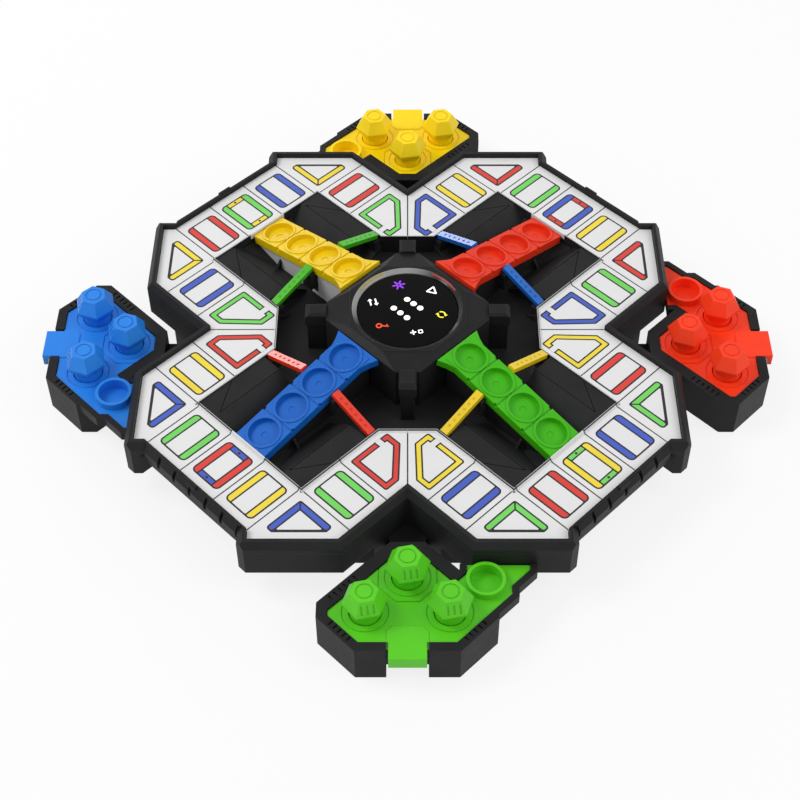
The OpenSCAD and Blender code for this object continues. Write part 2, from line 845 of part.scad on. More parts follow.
// Raised edges of one plate along the hollow
module plate_lips() {
  o = hollow_path(lip_w);
  n = hollow_path(joint_gap);
  intersection() {
    for (i = [0:4])
      mitred_edge(o[i], o[i + 1], n[i], n[i + 1], plate_top - eps, plate_top, track_z, 0.4);
    slab(plate_outline(joint_gap), plate_z, track_z);
  }
}

// White plate of one arm, with a seam between each two cells
module track_plate() {
  seam_z = plate_top - seam_deep;
  side = hollow_half + lip_w;
  color(white)
    difference() {
      union() {
        slab(plate_outline(joint_gap), plate_z, plate_top);
        plate_lips();
      }
      for (v = [-1.5 * cell_w, -cell_w / 2, cell_w / 2, 1.5 * cell_w])
        block(hollow_reach + lip_w, arm_reach + 1, v - seam_w / 2, v + seam_w / 2, seam_z, track_z + 1);
      for (s = [-1, 1])
        for (u = [seam_u, hollow_reach])
          block(u - seam_w / 2, u + seam_w / 2, min(s * side, s * (arm_half + 4)),
                max(s * side, s * (arm_half + 4)), seam_z, track_z + 1);
      for (s = [-1, 1])
        rotate([0, 0, 45 * s])
          block(inner_d + lip_w, arm_half * root2 + 1, -seam_w / 2, seam_w / 2, seam_z, track_z + 1);
    }
}

module track_yellow() { on_arm(arm_turn(1)) track_plate(); }
module track_red() { on_arm(arm_turn(0)) track_plate(); }
module track_green() { on_arm(arm_turn(3)) track_plate(); }
module track_blue() { on_arm(arm_turn(2)) track_plate(); }

// A lane lies on its ramp: x runs outward from its inner end, z is square to its top
module lane(tint) {
  half = lane_w / 2;
  color(tint)
    translate([lane_u1, 0, lane_z])
      rotate([0, lane_slope, 0])
        translate([-lane_len, 0, 0])
          difference() {
            union() {
              block(0, lane_len, -half, half, -lane_t, -0.5);
              block(2, lane_len, -half, half, -lane_t, 0);
              slab([
                [0, -half - ear_out],
                [4, -half - 0.42 * ear_out],
                [8.4, -half],
                [8.4, half],
                [4, half + 0.42 * ear_out],
                [0, half + ear_out]
              ], -lane_t, -0.4);
              for (k = [0:3])
                translate([lane_margin + k * cup_pitch, 0, 0])
                  rod(cup_r + 1.2, -1, 0.5);
            }
            for (k = [0:3])
              translate([lane_margin + k * cup_pitch, 0, 0]) {
                rod(cup_r, -cup_deep, 2);
                rod(1.6, -cup_deep - 0.3, 0);
              }
            for (k = [0:2])
              translate([lane_margin + (k + 0.5) * cup_pitch, 0, 0]) {
                block(-0.4, 0.4, -half - 1, half + 1, -0.5, 2);
                for (s = [-1, 1])
                  block(-1.4, 0.4, s * half - 0.7, s * half + 0.7, -1.8, 2);
              }
          }
}

module lane_yellow() { on_arm(arm_turn(1)) lane(yellow); }
module lane_red() { on_arm(arm_turn(0)) lane(red); }
module lane_green() { on_arm(arm_turn(3)) lane(green); }
module lane_blue() { on_arm(arm_turn(2)) lane(blue); }

// Two bars that rise from the track to the sides of a lane
module bar_pair(tint) {
  color(tint)
    for (s = [0, 1])
      mirror([0, s, 0])
        translate([bar_u, bar_v0, bar_z0])
          rotate([-bar_tilt, 0, 0])
            block(-bar_w / 2, bar_w / 2, -bar_len, 0, -bar_t, 0);
}

module bars_green() { on_arm(arm_turn(1)) bar_pair(green); }
module bars_blue() { on_arm(arm_turn(0)) bar_pair(blue); }
module bars_yellow() { on_arm(arm_turn(3)) bar_pair(yellow); }
module bars_red() { on_arm(arm_turn(2)) bar_pair(red); }

// Side panel on a ramp, split round the bar holder
module ramp_panel() {
  difference() {
    across([
      [ramp_u0 + 0.5, floor_z],
      [hollow_reach - end_slope - 0.2, floor_z],
      [hollow_reach - 1, skirt_z - (skirt_z - floor_z) / end_slope + 0.1],
      [hollow_reach - 1, lane_top(hollow_reach - 1) - lane_drop - 0.1],
      [ramp_u0 + 0.5, lane_top(ramp_u0 + 0.5) - lane_drop - 0.1]
    ], ramp_w / 2, ramp_w / 2 + panel_t);
    block(bar_u - hold_w / 2 - 0.2, bar_u + hold_w / 2 + 0.2, 0, ramp_w, floor_z + 1, tower_z + 20);
  }
}

module ramp_panels() {
  color(grey) {
    on_arm(arm_turn(1))
      ramp_panel();
    on_arm(arm_turn(2))
      mirror([0, 1, 0])
        ramp_panel();
  }
}

module tower_housing() {
  color(dark)
    difference() {
      union() {
        difference() {
          slab([for (k = [0:3]) for (s = [-1, 1]) turn([tower_u, s * tower_v], arm_turn(k))],
               floor_z, tower_z - 0.5);
          on_arms()
            translate([tower_u, 0, shoulder_z])
              rotate([0, collar_slope, 0])
                block(-far, far, -far, far, 0, far);
          on_sides()
            translate([tower_corner, 0, shoulder_z])
              rotate([0, corner_slope, 0])
                block(-far, far, -far, far, 0, far);
        }
        rotate([0, 0, 22.5])
          translate([0, 0, shoulder_z])
            cylinder(r = collar_d / cos(22.5), h = tower_z - shoulder_z, $fn = 8);
      }
      rod(bore_r, board_z, tower_z + 1);
      rod(bore_r - 5, floor_z - 1, board_z + 1);
    }
}

module post() {
  difference() {
    union() {
      block(post_u, post_u + post_d, -post_w / 2, post_w / 2, track_z + 5.5, track_z + post_up);
      block(post_u, post_u + post_d - 0.8, 0.8 - post_w / 2, post_w / 2 - 0.8, floor_z, track_z + 5.6);
    }
    translate([post_u + post_d, 0, track_z + post_up - 2.2])
      rotate([0, 45, 0])
        block(-10, 10, -post_w, post_w, 0, 10);
    for (s = [0, 1])
      mirror([0, s, 0])
        translate([post_u, post_w / 2, track_z + post_up - 1.2])
          rotate([-45, 0, 0])
            block(-1, post_d + 1, -10, 10, 0, 10);
  }
}

module tower_posts() {
  color(dark)
    on_sides()
      post();
}

module light_ring() {
  color(grey)
    translate([0, 0, ring_z])
      rotate_extrude($fn = 128)
        polygon([
          [ring_in, 0],
          [ring_r, 0],
          [ring_r, ring_h],
          [ring_r - 0.5, ring_h],
          [ring_in, ring_h - ring_slope]
        ]);
}

module display_lens() {
  color([0.04, 0.04, 0.05])
    rotate_extrude($fn = 128)
      polygon(concat(
        [[0, carrier_z], [display_r, carrier_z]],
        [for (k = [0:8]) [display_r * (1 - k / 8), display_z + display_crown * (1 - pow(1 - k / 8, 2))]]
      ));
}

module cap_carrier() {
  color(dark)
    union() {
      difference() {
        union() {
          rod(carrier_r, flange_low, carrier_z);
          rod(flange_r, flange_low, flange_z);
        }
        rod(carrier_r - 1, flange_low - 1, carrier_z - carrier_t);
      }
      rod(stem_r, stem_low, carrier_z - carrier_t + eps);
    }
}

module display_board() {
  color([0.05, 0.3, 0.15])
    rod(bore_r - 0.3, board_z, board_top);
}

module lamp() {
  block(-lamp_w / 2, lamp_w / 2, -lamp_w / 2, lamp_w / 2, board_top, board_top + lamp_w / 2);
}

// Six lamps for the dots, six for the signs and four for the ring
module display_lamps() {
  color(white) {
    rotate([0, 0, -45])
      for (k = [-1:1])
        for (s = [-1, 1])
          translate([k * dot_pitch, s * dot_row, 0])
            lamp();
    for (k = [0:5])
      rotate([0, 0, 60 * k + 15])
        translate([display_r * 0.66, 0, 0])
          lamp();
    on_arms()
      translate([display_r * 0.85, 0, 0])
        lamp();
  }
}

module press_switch() {
  color(grey)
    rotate([0, 0, 45])
      difference() {
        block(-switch_half, switch_half, -switch_half, switch_half, board_top, switch_top);
        rod(stem_r + stem_gap, board_top + 0.3, switch_top + 1);
      }
}

module stop_pads() {
  color(black)
    on_sides()
      translate([flange_r - 1.2, 0, 0])
        rod(1, board_top, pad_top);
}

module ribbon_cable() {
  bend_z = main_z + board_t + 1.2;
  color(grey)
    union() {
      block(-5, 5, cable_y - 0.3, cable_y + 0.3, bend_z, board_z);
      block(-5, 5, main_y + main_w / 2 - 4, cable_y + 0.3, bend_z, bend_z + 0.6);
    }
}

module main_board() {
  color([0.05, 0.35, 0.2])
    translate([0, main_y, main_z])
      block(-main_l / 2, main_l / 2, -main_w / 2, main_w / 2, 0, board_t);
}

module board_chips() {
  chip_z = main_z + board_t;
  color(black)
    translate([0, main_y, chip_z]) {
      block(-chip_w / 2, chip_w / 2, main_w / 2 - 9.8, main_w / 2 - 4.2, 0, 1.6);
      block(-chip_w * 0.7, chip_w / 2, -chip_w * 0.7, chip_w * 0.35, 0, board_t);
      block(main_l * 0.19, main_l * 0.19 + chip_w * 0.7, -chip_w / 2, 0, 0, board_t);
      for (y = [-main_w / 9, main_w / 7])
        translate([-main_l * 0.31, y, 0])
          rod(chip_w / 4, 0, chip_w / 3);
      translate([main_l * 0.34, main_w * 0.22, 0])
        rod(chip_w / 5, 0, chip_w / 3.5);
    }
}

module speaker() {
  color(dark)
    translate([0, speaker_y, hub_top])
      difference() {
        union() {
          cylinder(r = speaker_r, h = speaker_h * 0.45);
          cylinder(r = speaker_r * 0.6, h = speaker_h);
        }
        cylinder(r1 = speaker_r - 2, r2 = speaker_r * 0.3, h = speaker_h * 0.4);
      }
}

module battery_box() {
  color(dark)
    translate([0, box_y, hub_top])
      difference() {
        block(-box_in_x - box_wall, box_in_x + box_wall, -box_in_y - box_wall, box_in_y + box_wall, 0, box_h);
        block(-box_in_x, box_in_x, -box_in_y, box_in_y, -1, box_h - box_wall);
      }
}

module at_cells() {
  for (k = [-1:1])
    translate([0, box_y + k * cell_pitch_y, cell_z])
      rotate([0, 0, 180 * k])
        children();
}

module battery_cells() {
  color([0.75, 0.55, 0.2])
    at_cells()
      rotate([0, 90, 0])
        union() {
          rod(cell_r, -cell_len / 2, cell_len / 2 - 1);
          rod(1.9, cell_len / 2 - 1.1, cell_len / 2);
        }
}

module battery_contacts() {
  color(grey)
    at_cells()
      for (s = [-1, 1])
        union() {
          block(min(s * box_in_x, s * (box_in_x - 0.5)), max(s * box_in_x, s * (box_in_x - 0.5)),
                -4, 4, -4, 4);
          rotate([0, 90, 0])
            rod(2.2, min(s * (cell_len / 2 + 0.1), s * (box_in_x - 0.4)),
                max(s * (cell_len / 2 + 0.1), s * (box_in_x - 0.4)));
        }
}

module battery_door() {
  low = hub_gap + door_gap;
  color(black)
    translate([0, box_y, 0])
      difference() {
        union() {
          block(-door_half_x, door_half_x, -door_half_y, door_half_y, low, low + door_t);
          block(-door_half_x, door_half_x, -door_half_y - door_flange + door_gap,
                door_half_y + door_flange - door_gap, low + door_t / 2, low + door_t);
        }
        for (k = [0:4])
          block(-door_half_x + 5 + 2.4 * k, -door_half_x + 6.2 + 2.4 * k, -7, 7, low - 1, low + 0.4);
      }
}

// Housing over the power knob, open below
module power_switch() {
  side = knob_w / 2 + 2.6;
  end = knob_l / 2 + 2.6;
  color(grey)
    translate([knob_x, knob_y, hub_top])
      difference() {
        block(-side - 1.4, side + 1.4, -end - 1.4, end + knob_travel + 1.4, 0, 5);
        block(-side, side, -end, end + knob_travel, -1, 3.4);
      }
}

module power_knob() {
  color(grey)
    translate([knob_x, knob_y, 0])
      union() {
        block(-knob_w / 2, knob_w / 2, -knob_l / 2, knob_l / 2, hub_gap - 0.8, hub_top + 1);
        block(-knob_w / 2 - 2, knob_w / 2 + 2, -knob_l / 2 - 2, knob_l / 2 + 2,
              hub_top + 0.3, hub_top + 1.8);
      }
}

module case_screws() {
  color(grey)
    at_bosses()
      difference() {
        union() {
          rod(screw_head_r, hub_gap + 0.6, hub_gap + 2.4);
          rod(screw_r, hub_gap + 2.3, part_z - 1.6);
        }
        block(-2, 2, -0.4, 0.4, 0, hub_gap + 1.3);
        block(-0.4, 0.4, -2, 2, 0, hub_gap + 1.3);
      }
}

module rubber_feet() {
  color(dark)
    at_feet()
      rod(foot_r, 0, hub_gap + foot_sink);
}

// Small slots in the top of a tray rim
module rim_slots() {
  for (k = [0:5])
    translate([-tray_half + 4.2 + 2 * k, -wedge_y - tray_half + 4.2 + 2 * k, 0])
      rotate([0, 0, 45])
        block(-0.5, 0.5, -4, -1.2, tray_h - 1, tray_h + 1);
  for (s = [-1, 1])
    for (k = [0:4])
      translate([s * (front_half + 4.2 + 1.9 * k), -front_y + 4.2 + 1.9 * k, 0])
        rotate([0, 0, s * 45])
          block(-0.5, 0.5, 1.2, 3.8, tray_h - 1, tray_h + 1);
}

module tray(a) {
  color(black)
    rotate([0, 0, a])
      difference() {
        union() {
          slab(tray_outline(), 0, tray_h);
          slab(wing_outline(shelf_rim, dock_y), shelf_low, tray_h);
        }
        slab(core_outline(seat_gap, seat_gap), insert_z, tray_h + 1);
        slab(wing_outline(seat_gap, dock_y - 1), wing_z, tray_h + 1);
        slab(core_outline(-ledge, front_rim - cavity_front), tray_floor, insert_z + 1);
        block(-slot_half, slot_half, -front_y - 1, slot_deep - front_y, -1, tray_h + 1);
        block(-tongue_w / 2 - slide_gap, tongue_w / 2 + slide_gap, -tongue_y - 1.2, 0,
              tongue_z - slide_gap, tongue_z + tongue_t + slide_gap);
        rim_slots();
      }
}

module tray_green() { tray(side_turn(0)); }
module tray_red() { tray(side_turn(1)); }
module tray_yellow() { tray(side_turn(2)); }
module tray_blue() { tray(side_turn(3)); }

module at_pawn(n) {
  place = [[-pawn_x, -pawn_y1], [0, -pawn_y2], [pawn_x, -pawn_y1]];
  translate([place[n - 1][0], place[n - 1][1], 0])
    children();
}

// Coloured insert with three pawn cups, a raised cup on its wing and a fold-over tab
module insert(a, tint) {
  color(tint)
    rotate([0, 0, a])
      difference() {
        union() {
          slab(core_outline(0, 0), insert_z, wing_z + eps);
          slab(wing_outline(0, wing_y), wing_z, insert_top);
          translate([boss_x, -boss_y, 0])
            rod(seat_r + boss_t, insert_top - eps, insert_top + boss_h);
          block(-tab_half, tab_half, -front_y - tab_out, -insert_y + 2, insert_top - tab_t, insert_top + 0.4);
          block(-tab_half, tab_half, -front_y - tab_out, tab_t - front_y - tab_out,
                insert_top - tab_drop, insert_top + 0.4);
          slab([
            [-tab_half - tab_root, -insert_y],
            [tab_half + tab_root, -insert_y],
            [tab_half + tab_root, 5.4 - insert_y],
            [tab_half - 1.8, 8 - insert_y],
            [1.8 - tab_half, 8 - insert_y],
            [-tab_half - tab_root, 5.4 - insert_y]
          ], insert_top - 1, insert_top + 0.4);
        }
        for (n = [1:3])
          at_pawn(n) {
            rod(seat_r, seat_z, tray_h + 1);
            difference() {
              rod(groove_r, insert_top - groove_deep, tray_h);
              rod(groove_r - groove_w, insert_top - 1, tray_h + 1);
            }
          }
        at_pawn(2)
          rotate([0, 0, 22.5])
            translate([0, 0, insert_top - groove_deep])
              difference() {
                cylinder(r = pad_d / cos(22.5), h = 2, $fn = 8);
                translate([0, 0, -1])
                  cylinder(r = (pad_d - groove_w) / cos(22.5), h = 4, $fn = 8);
              }
        translate([boss_x, -boss_y, 0])
          rod(seat_r, wing_z + boss_floor, insert_top + boss_h + 1);
      }
}

module insert_green() { insert(side_turn(0), green); }
module insert_red() { insert(side_turn(1), red); }
module insert_yellow() { insert(side_turn(2), yellow); }
module insert_blue() { insert(side_turn(3), blue); }

// Gem-shaped pawn: round foot, six-sided belt, slopes above and below it, three grooves on one slope
module pawn() {
  rod(plug_r, 0, belt_z - under_h + 1);
  rotate([0, 0, pawn_turn])
    difference() {
      translate([0, 0, belt_z - under_h])
        cylinder(r = pawn_r, h = pawn_h - belt_z + under_h, $fn = 6);
      for (k = [0:5])
        rotate([0, 0, 30 + 60 * k]) {
          translate([belt_in, 0, belt_z + belt_h])
            rotate([0, crown_slope, 0])
              block(-20, 10, -10, 10, 0, 12);
          translate([belt_in, 0, belt_z])
            rotate([0, -under_slope, 0])
              block(-20, 10, -10, 10, -12, 0);
        }
      rotate([0, 0, 270])
        translate([belt_in, 0, belt_z + belt_h])
          rotate([0, crown_slope, 0])
            for (v = [-2.6, 0, 2.6])
              block(-5.4, -1.2, v - 0.35, v + 0.35, -0.4, 1);
      difference() {
        rod(pawn_top * 0.62, pawn_h - 0.4, pawn_h + 1);
        rod(pawn_top * 0.52, pawn_h - 1, pawn_h + 2);
      }
    }
}

module seated_pawn(a, tint, n) {
  color(tint)
    rotate([0, 0, a])
      at_pawn(n)
        translate([0, 0, seat_z])
          pawn();
}

module pawn_green_1() { seated_pawn(side_turn(0), green, 1); }
module pawn_green_2() { seated_pawn(side_turn(0), green, 2); }
module pawn_green_3() { seated_pawn(side_turn(0), green, 3); }
module pawn_red_1() { seated_pawn(side_turn(1), red, 1); }
module pawn_red_2() { seated_pawn(side_turn(1), red, 2); }
module pawn_red_3() { seated_pawn(side_turn(1), red, 3); }
module pawn_yellow_1() { seated_pawn(side_turn(2), yellow, 1); }
module pawn_yellow_2() { seated_pawn(side_turn(2), yellow, 2); }
module pawn_yellow_3() { seated_pawn(side_turn(2), yellow, 3); }
module pawn_blue_1() { seated_pawn(side_turn(3), blue, 1); }
module pawn_blue_2() { seated_pawn(side_turn(3), blue, 2); }
module pawn_blue_3() { seated_pawn(side_turn(3), blue, 3); }

base_shell();
top_frame();
track_yellow();
track_red();
track_green();
track_blue();
lane_yellow();
lane_red();
lane_green();
lane_blue();
bars_green();
bars_blue();
bars_yellow();
bars_red();
ramp_panels();
tower_housing();
tower_posts();
light_ring();
display_lens();
cap_carrier();
display_board();
display_lamps();
press_switch();
stop_pads();
ribbon_cable();
main_board();
board_chips();
speaker();
battery_box();
battery_cells();
battery_contacts();
battery_door();
power_switch();
power_knob();
case_screws();
rubber_feet();
tray_green();
tray_red();
tray_yellow();
tray_blue();
insert_green();
insert_red();
insert_yellow();
insert_blue();
pawn_green_1();
pawn_green_2();
pawn_green_3();
pawn_red_1();
pawn_red_2();
pawn_red_3();
pawn_yellow_1();
pawn_yellow_2();
pawn_yellow_3();
pawn_blue_1();
pawn_blue_2();
pawn_blue_3();
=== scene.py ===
import json
import math

import bpy
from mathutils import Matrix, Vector


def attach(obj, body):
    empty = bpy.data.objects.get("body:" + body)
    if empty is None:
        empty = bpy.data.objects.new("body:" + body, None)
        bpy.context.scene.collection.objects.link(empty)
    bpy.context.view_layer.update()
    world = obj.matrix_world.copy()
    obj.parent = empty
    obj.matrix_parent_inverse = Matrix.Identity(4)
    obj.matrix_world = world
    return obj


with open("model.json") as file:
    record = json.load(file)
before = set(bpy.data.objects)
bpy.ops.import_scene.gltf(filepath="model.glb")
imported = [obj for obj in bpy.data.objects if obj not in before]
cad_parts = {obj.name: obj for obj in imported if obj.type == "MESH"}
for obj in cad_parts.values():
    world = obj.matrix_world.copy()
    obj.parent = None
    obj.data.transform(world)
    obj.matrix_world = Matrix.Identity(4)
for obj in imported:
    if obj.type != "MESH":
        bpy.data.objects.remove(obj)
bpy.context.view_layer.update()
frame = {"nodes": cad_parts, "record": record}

MM = 0.001

# Sizes of the CAD frame, in millimetres
TRACK_Z = 31.5
PLATE_Z = 29.9
HOLLOW_REACH = 100.0
HOLLOW_HALF = 34.5
ARM_REACH = 131.5
ARM_HALF = 66.0
CELL_W = 22.5
INNER_D = 62.0
LIP_W = 1.4
SEAM_W = 0.6
SEAM_DEEP = 0.5
LENS_R = 23.6
LENS_Z = 43.5
LENS_CROWN = 1.0
LEDGE_Z = 31.0
LEDGE_U = 59.5
LINE_U = 97.0
LINE_V = 23.4
LINE_LEN = 19.0
LINE_TURN = 147.0
LINE_HALF = 0.28
RING_IN = 24.0
RING_TOP = 25.7
RING_Z = 45.1
RING_SLOPE = 1.4

ARMS = {"red": 45.0, "yellow": 135.0, "blue": 225.0, "green": 315.0}


def srgb(r, g, b):
    """Linear colour from 0-255 display values."""
    out = []
    for c in (r, g, b):
        c = c / 255.0
        out.append(c / 12.92 if c <= 0.04045 else ((c + 0.055) / 1.055) ** 2.4)
    return tuple(out) + (1.0,)


def shade(colour, k):
    return tuple(min(1.0, c * k) for c in colour[:3]) + (1.0,)


# Materials

BROAD_SCALE, PATCH_SCALE, GRAIN_SCALE = 70.0, 220.0, 2600.0
GLOSS_SPREAD = 0.07
GRAIN_DEPTH = 0.1
# Range of the edge mask for the painted highlight on edges
HIGHLIGHT_FROM, HIGHLIGHT_TO = 0.99, 0.8


def plastic(
    name, colour, rough=0.4, spec=0.5, coat=0.0, grain=0.06, mottle=0.06, bevel=0.35, edge_highlight=0.0, glow=0.0,
):
    """Moulded plastic: soft colour drift, uneven gloss, fine grain, rounded edges and a painted highlight
    that makes the edges paler.
    """
    mat = bpy.data.materials.new(name)
    mat.use_nodes = True
    nodes, links = mat.node_tree.nodes, mat.node_tree.links
    bsdf = nodes["Principled BSDF"]
    coords = nodes.new("ShaderNodeTexCoord")

    broad = nodes.new("ShaderNodeTexNoise")
    broad.inputs["Scale"].default_value = BROAD_SCALE
    broad.inputs["Detail"].default_value = 4.0
    links.new(coords.outputs["Object"], broad.inputs["Vector"])
    drift = nodes.new("ShaderNodeValToRGB")
    drift.color_ramp.elements[0].position = 0.3
    drift.color_ramp.elements[1].position = 0.7
    drift.color_ramp.elements[0].color = shade(colour, 1.0 - mottle)
    drift.color_ramp.elements[1].color = shade(colour, 1.0 + mottle)
    links.new(broad.outputs["Fac"], drift.inputs["Fac"])
    tint = drift.outputs["Color"]

    round_edges = nodes.new("ShaderNodeBevel")
    round_edges.samples = 6
    round_edges.inputs["Radius"].default_value = bevel * MM

    # Painted highlight: the edges are painted paler where the rounded-edge normal turns away from the flat
    # normal.
    if edge_highlight > 0.0:
        flat = nodes.new("ShaderNodeNewGeometry")
        align = nodes.new("ShaderNodeVectorMath")
        align.operation = "DOT_PRODUCT"
        links.new(round_edges.outputs["Normal"], align.inputs[0])
        links.new(flat.outputs["Normal"], align.inputs[1])
        edge = nodes.new("ShaderNodeMapRange")
        edge.inputs["From Min"].default_value = HIGHLIGHT_FROM
        edge.inputs["From Max"].default_value = HIGHLIGHT_TO
        edge.inputs["To Min"].default_value = 0.0
        edge.inputs["To Max"].default_value = edge_highlight
        links.new(align.outputs["Value"], edge.inputs["Value"])
        highlight_mix = nodes.new("ShaderNodeMixRGB")
        highlight_mix.inputs["Color2"].default_value = tuple(min(1.0, c * 1.3 + 0.05) for c in colour[:3]) + (1.0,)
        links.new(edge.outputs["Result"], highlight_mix.inputs["Fac"])
        links.new(tint, highlight_mix.inputs["Color1"])
        tint = highlight_mix.outputs["Color"]
    links.new(tint, bsdf.inputs["Base Color"])

    patches = nodes.new("ShaderNodeTexNoise")
    patches.inputs["Scale"].default_value = PATCH_SCALE
    patches.inputs["Detail"].default_value = 3.0
    links.new(coords.outputs["Object"], patches.inputs["Vector"])
    gloss = nodes.new("ShaderNodeMapRange")
    gloss.inputs["To Min"].default_value = max(0.03, rough - GLOSS_SPREAD)
    gloss.inputs["To Max"].default_value = min(1.0, rough + GLOSS_SPREAD)
    links.new(patches.outputs["Fac"], gloss.inputs["Value"])
    links.new(gloss.outputs["Result"], bsdf.inputs["Roughness"])

    fine = nodes.new("ShaderNodeTexNoise")
    fine.inputs["Scale"].default_value = GRAIN_SCALE
    fine.inputs["Detail"].default_value = 2.0
    links.new(coords.outputs["Object"], fine.inputs["Vector"])
    bump = nodes.new("ShaderNodeBump")
    bump.inputs["Strength"].default_value = grain
    bump.inputs["Distance"].default_value = GRAIN_DEPTH * MM
    links.new(fine.outputs["Fac"], bump.inputs["Height"])
    links.new(round_edges.outputs["Normal"], bump.inputs["Normal"])
    links.new(bump.outputs["Normal"], bsdf.inputs["Normal"])

    bsdf.inputs["Specular IOR Level"].default_value = spec
    if coat > 0.0:
        bsdf.inputs["Coat Weight"].default_value = coat
        bsdf.inputs["Coat Roughness"].default_value = 0.12
    if glow > 0.0:
        bsdf.inputs["Emission Color"].default_value = colour
        bsdf.inputs["Emission Strength"].default_value = glow
    return mat


TINTS = {
    "yellow": srgb(255, 219, 12),
    "red": srgb(249, 62, 26),
    "green": srgb(90, 202, 32),
    "blue": srgb(38, 130, 226),
}
# Painted shade: the lane colours are darker copies of the same plastic colours, to take back the extra lamp
# light on the lanes; the bars and their marks use them too.
SHADED_LANE_TINTS = {
    "yellow": srgb(233, 198, 6),
    "red": srgb(228, 52, 22),
    "green": srgb(64, 178, 12),
    "blue": srgb(18, 99, 192),
}
INKS = {
    "yellow": srgb(238, 214, 60),
    "red": srgb(216, 62, 52),
    "green": srgb(112, 210, 92),
    "blue": srgb(66, 92, 190),
}

# The paler edges of these plastics are a painted highlight.
mats = {
    "black_plastic": plastic(
        "black_plastic", srgb(39, 39, 40), 0.42, 0.08, grain=0.12, mottle=0.12, edge_highlight=0.5
    ),
    "tower_plastic": plastic(
        "tower_plastic", srgb(36, 36, 37), 0.38, 0.07, grain=0.10, mottle=0.12, edge_highlight=0.8
    ),
    "tray_plastic": plastic("tray_plastic", srgb(38, 38, 39), 0.45, 0.08, grain=0.12, mottle=0.12, edge_highlight=0.5),
    "white_plate": plastic("white_plate", srgb(226, 226, 226), 0.3, 0.3, grain=0.03, mottle=0.012, bevel=0.4),
    "grey_plastic": plastic("grey_plastic", srgb(212, 212, 212), 0.45, 0.3, grain=0.1, mottle=0.03, edge_highlight=0.2),
    "clear_ring": plastic("clear_ring", srgb(112, 112, 114), 0.14, 0.25, coat=0.1, grain=0.0, mottle=0.05),
    "display_black": plastic("display_black", srgb(7, 7, 8), 0.16, 0.06, grain=0.0, mottle=0.1),
    "inner_plastic": plastic("inner_plastic", srgb(40, 40, 42), 0.5, 0.4, grain=0.1, mottle=0.08),
    "circuit_board": plastic("circuit_board", srgb(30, 110, 62), 0.45, 0.4, grain=0.15, mottle=0.12),
    "lamp_white": plastic("lamp_white", srgb(235, 232, 220), 0.3, 0.5, grain=0.02, mottle=0.02),
    "contact_metal": plastic("contact_metal", srgb(190, 190, 188), 0.3, 0.5, grain=0.06, mottle=0.05),
    "cell_wrap": plastic("cell_wrap", srgb(186, 142, 60), 0.3, 0.5, grain=0.03, mottle=0.06),
    "screw_steel": plastic("screw_steel", srgb(180, 180, 178), 0.32, 0.5, grain=0.1, mottle=0.06),
    "rubber_black": plastic("rubber_black", srgb(30, 30, 30), 0.75, 0.25, grain=0.2, mottle=0.1),
}


def painted_light_arc(mat, dark, painted_light, toward):
    """Clear plastic with painted light: a pale painted reflection on the side named by the direction toward,
    and dark on the other side.
    """
    nodes, links = mat.node_tree.nodes, mat.node_tree.links
    coords = nodes.new("ShaderNodeTexCoord")
    side = nodes.new("ShaderNodeVectorMath")
    side.operation = "DOT_PRODUCT"
    side.inputs[1].default_value = toward
    links.new(coords.outputs["Object"], side.inputs[0])
    share = nodes.new("ShaderNodeMapRange")
    share.interpolation_type = "SMOOTHSTEP"
    share.inputs["From Min"].default_value = 0.2 * RING_TOP * MM
    share.inputs["From Max"].default_value = 0.8 * RING_TOP * MM
    links.new(side.outputs["Value"], share.inputs["Value"])
    mix = nodes.new("ShaderNodeMixRGB")
    mix.inputs["Color1"].default_value = dark
    mix.inputs["Color2"].default_value = painted_light
    links.new(share.outputs["Result"], mix.inputs["Fac"])
    links.new(mix.outputs["Color"], nodes["Principled BSDF"].inputs["Base Color"])


# The light ring's pale arc is a painted reflection, fixed to the ring's left and far side.
painted_light_arc(mats["clear_ring"], srgb(20, 20, 22), srgb(150, 150, 148), (-0.64, 0.77, 0.0))
for metal in ("contact_metal", "screw_steel"):
    mats[metal].node_tree.nodes["Principled BSDF"].inputs["Metallic"].default_value = 1.0
for tint_name, tint_colour in TINTS.items():
    mats[tint_name + "_plastic"] = plastic(
        tint_name + "_plastic", tint_colour, 0.34, 0.25, grain=0.05, mottle=0.05, bevel=0.4, edge_highlight=0.12
    )
# The lanes get the darker painted-shade copies of their colours.
shaded_lane_mats = {
    name: plastic("lane_" + name, colour, 0.34, 0.25, grain=0.05, mottle=0.05, bevel=0.4, edge_highlight=0.12)
    for name, colour in SHADED_LANE_TINTS.items()
}
gloss_mats = {
    name: plastic("gloss_" + name, colour, 0.16, 0.35, coat=0.3, grain=0.02, mottle=0.05, bevel=0.3)
    for name, colour in SHADED_LANE_TINTS.items()
}
mark_mats = {
    name: plastic("mark_" + name, shade(colour, 0.75), 0.5, 0.25, grain=0.05, mottle=0.08, bevel=0.05)
    for name, colour in SHADED_LANE_TINTS.items()
}
inks_and_shade = {
    name: plastic("ink_" + name, colour, 0.34, 0.4, grain=0.04, mottle=0.05, bevel=0.05)
    for name, colour in INKS.items()
}
inks_and_shade["black"] = plastic("ink_black", srgb(34, 30, 34), 0.36, 0.35, grain=0.04, mottle=0.1, bevel=0.05)
inks_and_shade["white"] = mats["white_plate"]
# Painted shade: grey for the top of the plates' raised edges.
inks_and_shade["grey"] = plastic("lip_shade_grey", srgb(165, 165, 166), 0.4, 0.3, grain=0.04, mottle=0.05, bevel=0.05)
inks_and_shade["dark"] = plastic("ink_dark", srgb(12, 12, 12), 0.7, 0.1, grain=0.04, mottle=0.1, bevel=0.05)
